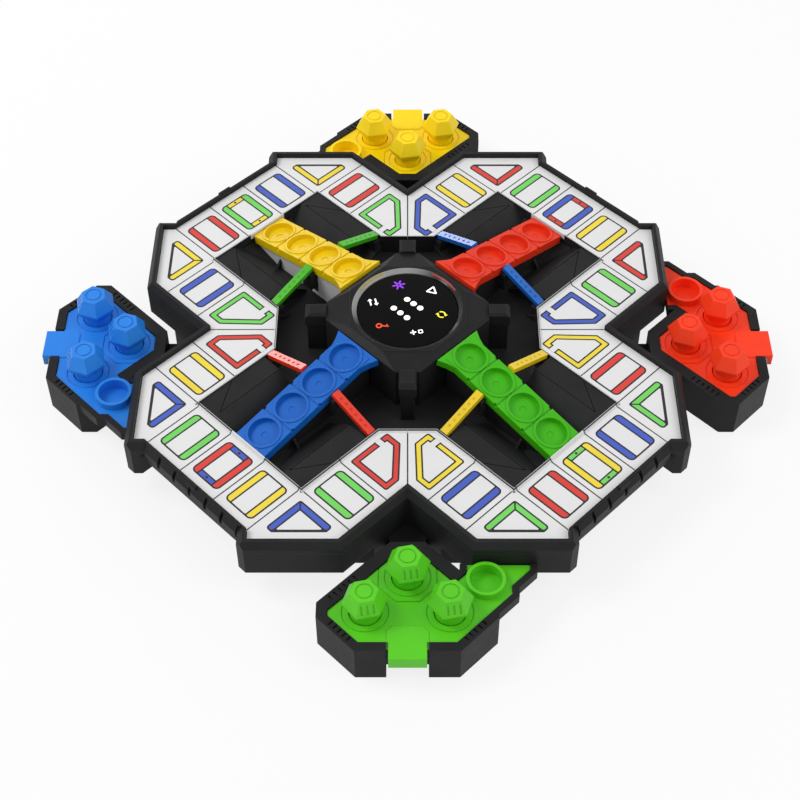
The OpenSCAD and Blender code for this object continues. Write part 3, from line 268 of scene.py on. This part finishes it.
# Dark grey for the seams, also used as painted shade on the slope of the raised edges.
inks_and_shade["seam"] = plastic("ink_seam", srgb(58, 58, 60), 0.55, 0.25, grain=0.06, mottle=0.1, bevel=0.05)
light = {
    "white": plastic("light_white", srgb(250, 250, 250), 0.4, 0.3, mottle=0.0, glow=0.75),
    "purple": plastic("light_purple", srgb(128, 50, 205), 0.4, 0.3, mottle=0.05, glow=0.7),
    "yellow": plastic("light_yellow", srgb(240, 225, 60), 0.4, 0.3, mottle=0.05, glow=0.7),
    "red": plastic("light_red", srgb(225, 70, 40), 0.4, 0.3, mottle=0.05, glow=0.7),
}
arc_mats = {
    "yellow": plastic("arc_yellow", srgb(176, 150, 36), 0.3, 0.3, mottle=0.1),
    "red": plastic("arc_red", srgb(180, 52, 38), 0.3, 0.3, mottle=0.1),
}

for entry in frame["record"]["subparts"]:
    node = frame["nodes"][entry["node"]]
    node.data.materials.clear()
    node.data.materials.append(mats[entry["material_slot"]])
for tint_name in TINTS:
    frame["nodes"]["bars_" + tint_name].data.materials[0] = gloss_mats[tint_name]
    frame["nodes"]["lane_" + tint_name].data.materials[0] = shaded_lane_mats[tint_name]


# Mesh building


class Builder:
    """Collects closed solids in millimetres and makes one piece of them."""

    def __init__(self, place):
        self.place = place
        self.verts, self.faces, self.marks, self.mats = [], [], [], []

    def index(self, mat):
        if mat not in self.mats:
            self.mats.append(mat)
        return self.mats.index(mat)

    def add(self, points):
        base = len(self.verts)
        self.verts.extend(tuple(c * MM for c in self.place(*p)) for p in points)
        return base

    def face(self, ids, mat):
        self.faces.append(ids)
        self.marks.append(self.index(mat))

    def prism(self, outline, low, high, mat):
        """Closed prism over a convex outline. low and high are heights or functions of a point."""
        if area(outline) < 0.0:
            outline = outline[::-1]
        n = len(outline)
        lo = low if callable(low) else (lambda x, y: low)
        hi = high if callable(high) else (lambda x, y: high)
        base = self.add([(x, y, lo(x, y)) for x, y in outline] + [(x, y, hi(x, y)) for x, y in outline])
        self.face([base + i for i in reversed(range(n))], mat)
        self.face([base + n + i for i in range(n)], mat)
        for i in range(n):
            j = (i + 1) % n
            self.face([base + i, base + j, base + n + j, base + n + i], mat)

    def loop(self, outer, inner, low, high, mat):
        """Closed ring between two outlines with the same number of points. low and high are functions."""
        n = len(outer)
        rows = [(outer, low), (outer, high), (inner, high), (inner, low)]
        base = self.add([(x, y, f(x, y)) for pts, f in rows for x, y in pts])
        for k in range(4):
            a, b = base + k * n, base + ((k + 1) % 4) * n
            for i in range(n):
                j = (i + 1) % n
                self.face([a + i, a + j, b + j, b + i], mat)

    def make(self, name, body):
        mesh = bpy.data.meshes.new(name)
        mesh.from_pydata(self.verts, [], self.faces)
        for mat in self.mats:
            mesh.materials.append(mat)
        for polygon, mark in zip(mesh.polygons, self.marks):
            polygon.material_index = mark
        mesh.validate()
        mesh.update()
        obj = bpy.data.objects.new(name, mesh)
        bpy.context.scene.collection.objects.link(obj)
        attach(obj, body)


def area(points):
    return 0.5 * sum(
        a[0] * b[1] - b[0] * a[1] for a, b in zip(points, points[1:] + points[:1])
    )


def turned(angle):
    c, s = math.cos(math.radians(angle)), math.sin(math.radians(angle))
    return lambda u, v, z: (u * c - v * s, u * s + v * c, z)


def rounded(points, radii, steps=5):
    """A convex outline with its corners rounded."""
    if not isinstance(radii, (list, tuple)):
        radii = [radii] * len(points)
    out = []
    n = len(points)
    for i in range(n):
        p = Vector(points[i])
        a, b = Vector(points[i - 1]) - p, Vector(points[(i + 1) % n]) - p
        r = radii[i]
        if r <= 0.0:
            out.append(tuple(p))
            continue
        half = a.angle(b) / 2.0
        a.normalize()
        b.normalize()
        reach = r / math.tan(half)
        centre = p + (a + b).normalized() * (r / math.sin(half))
        start, end = p + a * reach - centre, p + b * reach - centre
        sweep = start.angle_signed(end)
        for k in range(steps + 1):
            t = -sweep * k / steps
            out.append((
                centre.x + start.x * math.cos(t) - start.y * math.sin(t),
                centre.y + start.x * math.sin(t) + start.y * math.cos(t),
            ))
    return out


def inset(points, d):
    """A convex outline drawn in by d."""
    if area(points) < 0.0:
        points = points[::-1]
    lines = []
    for a, b in zip(points, points[1:] + points[:1]):
        a, b = Vector(a), Vector(b)
        along = (b - a).normalized()
        lines.append((a + Vector((-along.y, along.x)) * d, along))
    out = []
    for i in range(len(lines)):
        (p, s), (q, t) = lines[i - 1], lines[i]
        cross = s.x * t.y - s.y * t.x
        k = ((q.x - p.x) * t.y - (q.y - p.y) * t.x) / cross
        out.append((p.x + s.x * k, p.y + s.y * k))
    return out


def rect(u0, u1, v0, v1):
    return [(u0, v0), (u1, v0), (u1, v1), (u0, v1)]


def spun(points, angle, x, y):
    c, s = math.cos(math.radians(angle)), math.sin(math.radians(angle))
    return [(x + px * c - py * s, y + px * s + py * c) for px, py in points]


def round_outline(r, count=28):
    turns = [2 * math.pi * k / count for k in range(count)]
    return [(r * math.cos(a), r * math.sin(a)) for a in turns]


# Printed cells

INK_LINE = 0.8
END_DOT_R = 0.65
PRINT_SUNK = 0.02
LAYER_STEP = 0.03
LAYER = [PLATE_Z + LAYER_STEP * k for k in range(1, 6)]


def flipped(points, s):
    return [(u, v * s) for u, v in points]


def print_solid(b, outline, layer, mat):
    b.prism(outline, PLATE_Z - PRINT_SUNK, LAYER[layer], mat)


def outer_cell(b, v, colour, ends=None):
    """Two bars along the arm joined by thin lines, or by two dotted end bars."""
    u0, u1, half, bar, end = 104.1, 126.7, 8.7, 4.3, 3.6
    print_solid(b, rounded(rect(u0, u1, v - half, v + half), 2.5), 0, inks_and_shade["black"])
    window = rect(u0 + INK_LINE, u1 - INK_LINE, v - half + bar, v + half - bar)
    if ends:
        window = rect(u0 + end, u1 - end, v - half + bar, v + half - bar)
    print_solid(b, rounded(window, 0.4, 2), 1, inks_and_shade["white"])
    for s in (-1, 1):
        near, far = v + s * (half - bar + INK_LINE), v + s * (half - INK_LINE)
        bar_rect = rect(u0 + INK_LINE, u1 - INK_LINE, near, far)
        print_solid(b, rounded(bar_rect, [0.3, 0.3, 1.7, 1.7]), 1, inks_and_shade[colour])
    if ends:
        for a, c in ((u0 + INK_LINE, u0 + end - 0.7), (u1 - end + 0.7, u1 - INK_LINE)):
            print_solid(b, rounded(rect(a, c, v - half + bar, v + half - bar), 0.3, 2), 1, inks_and_shade[ends])
            print_solid(b, spun(round_outline(END_DOT_R, 12), 0, (a + c) / 2.0, v), 2, inks_and_shade["black"])


def corner_cell(b, s, colour):
    """Two mitred legs and a thin line across."""
    u0, u1, v0, v1, leg = 104.0, 124.5, 38.3, 58.8, 3.9
    base = [(u0, v0), (u1, v0), (u1, v0 + leg - 0.2), (u0 + leg - 0.2, v1), (u0, v1)]
    print_solid(b, flipped(rounded(base, [1.2, 1.7, 1.2, 1.2, 1.7]), s), 0, inks_and_shade["black"])
    w = leg + 0.1
    window = [(u0 + w, v0 + w), (u1 - 2.2, v0 + w), (u0 + w, v1 - 2.2)]
    print_solid(b, flipped(rounded(window, 0.4, 3), s), 1, inks_and_shade["white"])
    near, far, cut = INK_LINE, leg - INK_LINE + 0.1, 0.5
    leg_u = [(near + cut, near), (u1 - u0 - near, near), (u1 - u0 - near, far), (far + cut, far)]
    radii = [0.2, 1.1, 1.1, 0.2]
    for swap in (False, True):
        pts = [(y, x) if swap else (x, y) for x, y in leg_u]
        pts = [(u0 + x, v0 + y) for x, y in pts]
        print_solid(b, flipped(rounded(pts, radii), s), 1, inks_and_shade[colour])


def side_cell(b, s, colour):
    """Two bars across the arm joined by thin lines."""
    u0, u1, v0, v1, bar = 80.0, 97.4, 38.2, 61.0, 4.4
    print_solid(b, flipped(rounded(rect(u0, u1, v0, v1), 2.5), s), 0, inks_and_shade["black"])
    window = rect(u0 + bar, u1 - bar, v0 + INK_LINE, v1 - INK_LINE)
    print_solid(b, flipped(rounded(window, 0.4, 2), s), 1, inks_and_shade["white"])
    left = rect(u0 + INK_LINE, u0 + bar - INK_LINE, v0 + INK_LINE, v1 - INK_LINE)
    right = rect(u1 - bar + INK_LINE, u1 - INK_LINE, v0 + INK_LINE, v1 - INK_LINE)
    print_solid(b, flipped(rounded(left, [1.7, 0.3, 0.3, 1.7]), s), 1, inks_and_shade[colour])
    print_solid(b, flipped(rounded(right, [0.3, 1.7, 1.7, 0.3]), s), 1, inks_and_shade[colour])


def inner_cell(b, s, colour):
    """A closed band with five corners and a small gap."""
    shape = [(51.2, 38.2), (74.3, 38.2), (74.3, 61.0), (66.2, 61.0), (51.2, 46.8)]
    band, line = 3.4, 0.75
    print_solid(b, flipped(rounded(shape, 1.2), s), 0, inks_and_shade["black"])
    print_solid(b, flipped(rounded(inset(shape, line), 0.7), s), 1, inks_and_shade[colour])
    print_solid(b, flipped(rounded(inset(shape, band - line), 0.4, 3), s), 2, inks_and_shade["black"])
    print_solid(b, flipped(rounded(inset(shape, band), 0.3, 3), s), 3, inks_and_shade["white"])
    gap0, gap1 = 56.0, 58.9
    print_solid(b, flipped(rect(gap0 - 0.7, gap1 + 0.7, 38.2, 38.2 + band), s), 2, inks_and_shade["black"])
    print_solid(b, flipped(rect(gap0, gap1, 38.0, 38.3 + band), s), 4, inks_and_shade["white"])


# Raised edges with painted shade, seams and lines in the hollows

LIP_FLAT = 0.45
LIP_DARK = 0.8
LIP_START = 0.1
LIP_EDGE_OUT, LIP_EDGE_IN = 0.08, 0.04
SKIN_SUNK, SKIN_UP = 0.05, 0.03
PLATE_LOW = 28.4
SEAM_HALF = SEAM_W / 2.0 - 0.02
SEAM_LOW, SEAM_HIGH = PLATE_Z - SEAM_DEEP, PLATE_Z - 0.1
LINE_LOW, LINE_HIGH = LEDGE_Z - 0.5, LEDGE_Z - 0.08
CORNER_DOT_AT, CORNER_DOT_R = 0.8, 0.6


def lip_z(d):
    """Height of the raised edge of a plate at the distance d from the hollow."""
    return TRACK_Z - (TRACK_Z - PLATE_Z) * max(0.0, d - LIP_FLAT) / (LIP_W - LIP_FLAT)


def lip_band(b, ends, d0, d1, mat):
    """Thin skin on a plate's raised edge. ends(d) gives its two ends at the distance d from the hollow."""
    near, far = ends(d0), ends(d1)
    level = dict(zip(near + far, (lip_z(d0), lip_z(d0), lip_z(d1), lip_z(d1))))
    b.prism(
        near + far[::-1], lambda x, y: level[(x, y)] - SKIN_SUNK, lambda x, y: level[(x, y)] + SKIN_UP, mat
    )


def lip_seam(b, ends):
    lip_band(b, ends, LIP_START, LIP_FLAT, inks_and_shade["seam"])
    lip_band(b, ends, LIP_FLAT, LIP_W, inks_and_shade["seam"])


def lip_painted_shade(b, ends):
    """Painted shade on a raised edge: a grey painted top, a dark painted band down its slope, and a black
    inner side.
    """
    lip_band(b, ends, LIP_EDGE_OUT, LIP_FLAT, inks_and_shade["grey"])
    lip_band(b, ends, LIP_FLAT, LIP_DARK, inks_and_shade["seam"])
    b.prism(ends(-LIP_EDGE_OUT) + ends(LIP_EDGE_IN)[::-1], PLATE_LOW, TRACK_Z - 0.1, mats["black_plastic"])


def hollow_edges(s):
    """The outer, long and slanting edge of one half of a hollow, each as a function of the distance."""

    def mitre(d):
        return (INNER_D + d) * math.sqrt(2.0) - HOLLOW_HALF - d, HOLLOW_HALF + d

    def outer_edge(d):
        return flipped([(HOLLOW_REACH + d, CELL_W / 2.0), (HOLLOW_REACH + d, HOLLOW_HALF + d)], s)

    def side_edge(d):
        return flipped([mitre(d), (HOLLOW_REACH + d, HOLLOW_HALF + d)], s)

    def slant_edge(d):
        axis = (INNER_D + d) / math.sqrt(2.0)
        return flipped([mitre(d), (axis + 0.1, axis - 0.1)], s)

    return outer_edge, side_edge, slant_edge


# Colours on each arm, in order along the track: inner, side, corner, three outer, corner, side and inner cell
CELLS = {
    "blue": ("red", "yellow", "blue", "green", "red", "yellow", "blue", "green", "red"),
    "green": ("yellow", "blue", "green", "red", "yellow", "blue", "green", "red", "yellow"),
    "red": ("blue", "green", "red", "yellow", "blue", "green", "red", "yellow", "blue"),
    "yellow": ("green", "red", "yellow", "blue", "green", "red", "yellow", "blue", "green"),
}

for name, angle in ARMS.items():
    prints = Builder(turned(angle))
    c = CELLS[name]
    inner_cell(prints, -1, c[0])
    side_cell(prints, -1, c[1])
    corner_cell(prints, -1, c[2])
    outer_cell(prints, -CELL_W, c[3])
    outer_cell(prints, 0.0, c[4], name)
    outer_cell(prints, CELL_W, c[5])
    corner_cell(prints, 1, c[6])
    side_cell(prints, 1, c[7])
    inner_cell(prints, 1, c[8])
    prints.make("prints_" + name, "board")

    seams = Builder(turned(angle))
    for k in (-1.5, -0.5, 0.5, 1.5):
        v0, v1 = k * CELL_W - SEAM_HALF, k * CELL_W + SEAM_HALF
        line = rect(HOLLOW_REACH + LIP_W + 0.1, ARM_REACH - 0.1, v0, v1)
        seams.prism(line, SEAM_LOW, SEAM_HIGH, inks_and_shade["seam"])
        lip_seam(seams, lambda d: [(HOLLOW_REACH + d, v0), (HOLLOW_REACH + d, v1)])
    for s in (-1, 1):
        for u in (HOLLOW_REACH - CELL_W, HOLLOW_REACH):
            line = rect(u - SEAM_HALF, u + SEAM_HALF, HOLLOW_HALF + LIP_W + 0.1, ARM_HALF - 0.1)
            seams.prism(flipped(line, s), SEAM_LOW, SEAM_HIGH, inks_and_shade["seam"])
        u0, u1 = HOLLOW_REACH - CELL_W - SEAM_HALF, HOLLOW_REACH - CELL_W + SEAM_HALF
        lip_seam(seams, lambda d: [(u0, s * (HOLLOW_HALF + d)), (u1, s * (HOLLOW_HALF + d))])
        # Painted shade on the raised edges along the hollow.
        for edge in hollow_edges(s):
            lip_painted_shade(seams, edge)
        dot_at = (HOLLOW_REACH + CORNER_DOT_AT, HOLLOW_HALF + CORNER_DOT_AT)
        dot = spun(round_outline(CORNER_DOT_R, 16), 0, *dot_at)
        seams.prism(
            flipped(dot, s), PLATE_Z,
            lambda x, y: lip_z(max(x - HOLLOW_REACH, abs(y) - HOLLOW_HALF)) + 0.05, inks_and_shade["seam"],
        )
        along = rect(LEDGE_U, LINE_U, LINE_V - LINE_HALF, LINE_V + LINE_HALF)
        across = spun(rect(0.0, LINE_LEN, -LINE_HALF, LINE_HALF), LINE_TURN, LINE_U, LINE_V)
        for line in (along, across):
            seams.prism(flipped(line, s), LINE_LOW, LINE_HIGH, inks_and_shade["dark"])
    seams.make("seams_" + name, "board")

axis_seams = Builder(turned(0.0))
for k in range(4):
    axis_seams.place = turned(90.0 * k)
    line = rect(INNER_D + LIP_W + 0.1, ARM_HALF * math.sqrt(2.0) - 0.2, -SEAM_HALF, SEAM_HALF)
    axis_seams.prism(line, SEAM_LOW, SEAM_HIGH, inks_and_shade["seam"])
axis_seams.make("seams_between_arms", "board")


# Marks along the coloured bars

BAR_U, BAR_V0, BAR_V1, BAR_Z0, BAR_Z1 = 56.8, 34.15, 10.55, 31.7, 40.1
BAR_SLOPE = (BAR_Z1 - BAR_Z0) / (BAR_V0 - BAR_V1)
BAR_ON_ARM = {"green": "yellow", "blue": "red", "yellow": "green", "red": "blue"}
MARKS, MARK_MARGIN, MARK_HALF = 6, 4.0, 0.6
MARK_SUNK, MARK_UP = 0.1, 0.06


def bar_top(v):
    return BAR_Z0 + (BAR_V0 - abs(v)) * BAR_SLOPE


for colour, arm_name in BAR_ON_ARM.items():
    marks = Builder(turned(ARMS[arm_name]))
    for s in (-1, 1):
        for k in range(MARKS):
            v = BAR_V1 + MARK_MARGIN + (BAR_V0 - BAR_V1 - 2.0 * MARK_MARGIN) * k / (MARKS - 1)
            mark = rect(BAR_U - MARK_HALF, BAR_U + MARK_HALF, v - MARK_HALF, v + MARK_HALF)
            marks.prism(
                flipped(rounded(mark, 0.3, 3), s),
                lambda u, v: bar_top(v) - MARK_SUNK, lambda u, v: bar_top(v) + MARK_UP, mark_mats[colour],
            )
    marks.make("bar_marks_" + colour, "board")


# Display

SIGN_SUNK, SIGN_UP = 0.03, 0.07
DIE_DOTS = ((-0.2, 5.9), (2.8, 3.1), (5.9, 0.25), (-6.5, 0.25), (-3.4, -2.8), (-0.3, -5.9))
STAR_AT, TRIANGLE_AT, LOOP_AT = (-4.2, 15.8), (11.6, 12.1), (15.9, -3.5)
PLUS_AT, SQUARE_AT, STEM_AT = (2.6, -14.9), (6.0, -14.3), (-13.3, -10.6)
ARROWS_AT = ((12, -17.6, 4.6), (192, -14.9, 4.6))
LEAN = 12


def lens_z(x, y):
    return LENS_Z + LENS_CROWN * (1.0 - (x * x + y * y) / (LENS_R * LENS_R))


def lit(b, outline, mat):
    b.prism(outline, lambda x, y: lens_z(x, y) - SIGN_SUNK, lambda x, y: lens_z(x, y) + SIGN_UP, mat)


def lit_ring(b, outer, inner, mat):
    b.loop(outer, inner, lambda x, y: lens_z(x, y) - SIGN_SUNK, lambda x, y: lens_z(x, y) + SIGN_UP, mat)


def arc_points(r, degrees):
    return [(r * math.cos(math.radians(a)), r * math.sin(math.radians(a))) for a in degrees]


display = Builder(turned(0.0))
for dot_at in DIE_DOTS:
    lit(display, spun(round_outline(1.5), 0, *dot_at), light["white"])
# six-armed star
ray = rounded([(0.5, -0.5), (3.2, -0.4), (3.2, 0.4), (0.5, 0.5)], 0.22, 3)
for k in range(6):
    lit(display, spun(ray, 60 * k + 15, *STAR_AT), light["purple"])
# triangle
tri = arc_points(3.4, (75, 195, 315))
tri_out, tri_in = rounded(tri, 0.5), rounded(inset(tri, 0.75), 0.15)
lit_ring(display, spun(tri_out, 0, *TRIANGLE_AT), spun(tri_in, 0, *TRIANGLE_AT), light["white"])
# loop of two arrows
arc_out, arc_in = arc_points(2.1, range(20, 141, 12)), arc_points(1.45, range(20, 141, 12))
for half_turn in (0, 180):
    for k in range(len(arc_out) - 1):
        quad = [arc_out[k], arc_out[k + 1], arc_in[k + 1], arc_in[k]]
        lit(display, spun(quad, half_turn - 20, *LOOP_AT), light["yellow"])
    lit(display, spun([(0.9, 0.9), (2.7, 0.9), (1.8, -0.5)], half_turn - 20, *LOOP_AT), light["yellow"])
# plus sign and square
for turn_plus in (0, 90):
    stroke = rounded(rect(-1.4, 1.4, -0.34, 0.34), 0.15, 3)
    lit(display, spun(stroke, turn_plus + LEAN, *PLUS_AT), light["white"])
square_out, square_in = rounded(rect(-1.1, 1.1, -1.1, 1.1), 0.4), rounded(rect(-0.6, 0.6, -0.6, 0.6), 0.2)
lit_ring(display, spun(square_out, LEAN, *SQUARE_AT), spun(square_in, LEAN, *SQUARE_AT), light["white"])
# ring and stem
eye_out, eye_in = round_outline(1.5, 24), round_outline(0.85, 24)
lit_ring(display, spun(eye_out, 0, *STEM_AT), spun(eye_in, 0, *STEM_AT), light["red"])
lit(display, spun(rounded(rect(1.45, 4.6, -0.33, 0.33), 0.15, 3), -6, *STEM_AT), light["red"])
lit(display, spun(rounded(rect(3.3, 3.9, 0.2, 1.2), 0.12, 3), -6, *STEM_AT), light["red"])
# two arrows
for arrow in ARROWS_AT:
    lit(display, spun(rounded(rect(-0.38, 0.38, -2.2, 1.2), 0.12, 3), *arrow), light["white"])
    lit(display, spun([(-1.15, 0.9), (1.15, 0.9), (0.0, 2.3)], *arrow), light["white"])
display.make("display_signs", "display")


# Coloured arcs on the light ring

ARC_IN, ARC_OUT = 24.9, 25.6
ARC_STEP, ARC_STEPS = 3, 6


def ring_z(x, y):
    r = math.hypot(x, y)
    return RING_Z - RING_SLOPE * (RING_TOP - r) / (RING_TOP - RING_IN)


arcs = Builder(turned(0.0))
for name, arc_mat in arc_mats.items():
    for k in range(-ARC_STEPS, ARC_STEPS):
        a0, a1 = (math.radians(ARMS[name] + ARC_STEP * i) for i in (k, k + 1))
        corners = ((ARC_IN, a0), (ARC_OUT, a0), (ARC_OUT, a1), (ARC_IN, a1))
        quad = [(r * math.cos(a), r * math.sin(a)) for r, a in corners]
        arcs.prism(quad, lambda x, y: ring_z(x, y) - 0.03, lambda x, y: ring_z(x, y) + 0.05, arc_mat)
arcs.make("ring_glow", "board")


# Stage, light and camera

FLOOR_HALF, FLOOR_DROP, FLOOR_GLOW = 15.0, 0.0002, 0.82
WORLD_LIGHT, WORLD_SEEN = 0.6, 1.0
BOARD = (0.0, 0.0, 0.03)
CAM_PLACE, CAM_DOWN, CAM_LENS = (0.0, -0.52836, 0.60305), 47.249, 73.75
PHOTO_PX, CAM_SHIFT_PX = 800, (-7.623, -72.756)


def seen_directly(nodes, links):
    """1 for rays that show the surroundings to the eye, in a gloss or through clear plastic, or else 0."""
    path = nodes.new("ShaderNodeLightPath")
    seen = path.outputs["Is Camera Ray"]
    for ray in ("Is Glossy Ray", "Is Transmission Ray"):
        larger = nodes.new("ShaderNodeMath")
        larger.operation = "MAXIMUM"
        links.new(seen, larger.inputs[0])
        links.new(path.outputs[ray], larger.inputs[1])
        seen = larger.outputs["Value"]
    return seen


def stage_floor():
    mesh = bpy.data.meshes.new("floor")
    corners = [(x, y, 0) for x, y in rect(-FLOOR_HALF, FLOOR_HALF, -FLOOR_HALF, FLOOR_HALF)]
    mesh.from_pydata(corners, [], [(0, 1, 2, 3)])
    obj = bpy.data.objects.new("floor", mesh)
    bpy.context.scene.collection.objects.link(obj)
    mat = bpy.data.materials.new("floor_white")
    mat.use_nodes = True
    nodes, links = mat.node_tree.nodes, mat.node_tree.links
    bsdf = nodes["Principled BSDF"]
    bsdf.inputs["Base Color"].default_value = (0.88, 0.88, 0.88, 1.0)
    bsdf.inputs["Roughness"].default_value = 0.9
    bsdf.inputs["Specular IOR Level"].default_value = 0.1
    glow = nodes.new("ShaderNodeEmission")
    glow.inputs["Strength"].default_value = 1.0
    share = nodes.new("ShaderNodeMath")
    share.operation = "MULTIPLY"
    share.inputs[1].default_value = FLOOR_GLOW
    links.new(seen_directly(nodes, links), share.inputs[0])
    mix = nodes.new("ShaderNodeMixShader")
    links.new(share.outputs[0], mix.inputs["Fac"])
    links.new(bsdf.outputs["BSDF"], mix.inputs[1])
    links.new(glow.outputs["Emission"], mix.inputs[2])
    links.new(mix.outputs["Shader"], nodes["Material Output"].inputs["Surface"])
    mesh.materials.append(mat)
    obj.location = (0, 0, -FLOOR_DROP)


def area_light(name, place, target, size, power, size_y=None):
    data = bpy.data.lights.new(name, "AREA")
    data.shape = "RECTANGLE" if size_y else "DISK"
    data.size = size
    if size_y:
        data.size_y = size_y
    data.energy = power
    obj = bpy.data.objects.new(name, data)
    obj.location = place
    obj.rotation_euler = (Vector(target) - Vector(place)).to_track_quat("-Z", "Y").to_euler()
    bpy.context.scene.collection.objects.link(obj)


def studio_world():
    world = bpy.data.worlds.new("studio")
    world.use_nodes = True
    bpy.context.scene.world = world
    nodes, links = world.node_tree.nodes, world.node_tree.links
    background = nodes["Background"]
    background.inputs["Color"].default_value = (1, 1, 1, 1)
    level = nodes.new("ShaderNodeMapRange")
    level.inputs["To Min"].default_value = WORLD_LIGHT
    level.inputs["To Max"].default_value = WORLD_SEEN
    links.new(seen_directly(nodes, links), level.inputs["Value"])
    links.new(level.outputs["Result"], background.inputs["Strength"])


stage_floor()
studio_world()
area_light("key", (-0.89, 0.07, 1.12), BOARD, 0.7, 7.6)
area_light("fill", (1.05, -0.25, 0.95), BOARD, 1.0, 5.0)
area_light("back_panel", (-0.28, 0.95, 0.28), BOARD, 0.36, 1.1, 0.22)

cam_data = bpy.data.cameras.new("camera")
cam = bpy.data.objects.new("camera", cam_data)
bpy.context.scene.collection.objects.link(cam)
cam.location = CAM_PLACE
cam.rotation_euler = (math.radians(90.0 - CAM_DOWN), 0.0, 0.0)
cam_data.sensor_fit = "HORIZONTAL"
cam_data.sensor_width = 36.0
cam_data.lens = CAM_LENS
cam_data.shift_x = CAM_SHIFT_PX[0] / PHOTO_PX
cam_data.shift_y = CAM_SHIFT_PX[1] / PHOTO_PX
cam_data.clip_start = 0.01
bpy.context.scene.camera = cam
bpy.context.scene.view_settings.view_transform = "Standard"
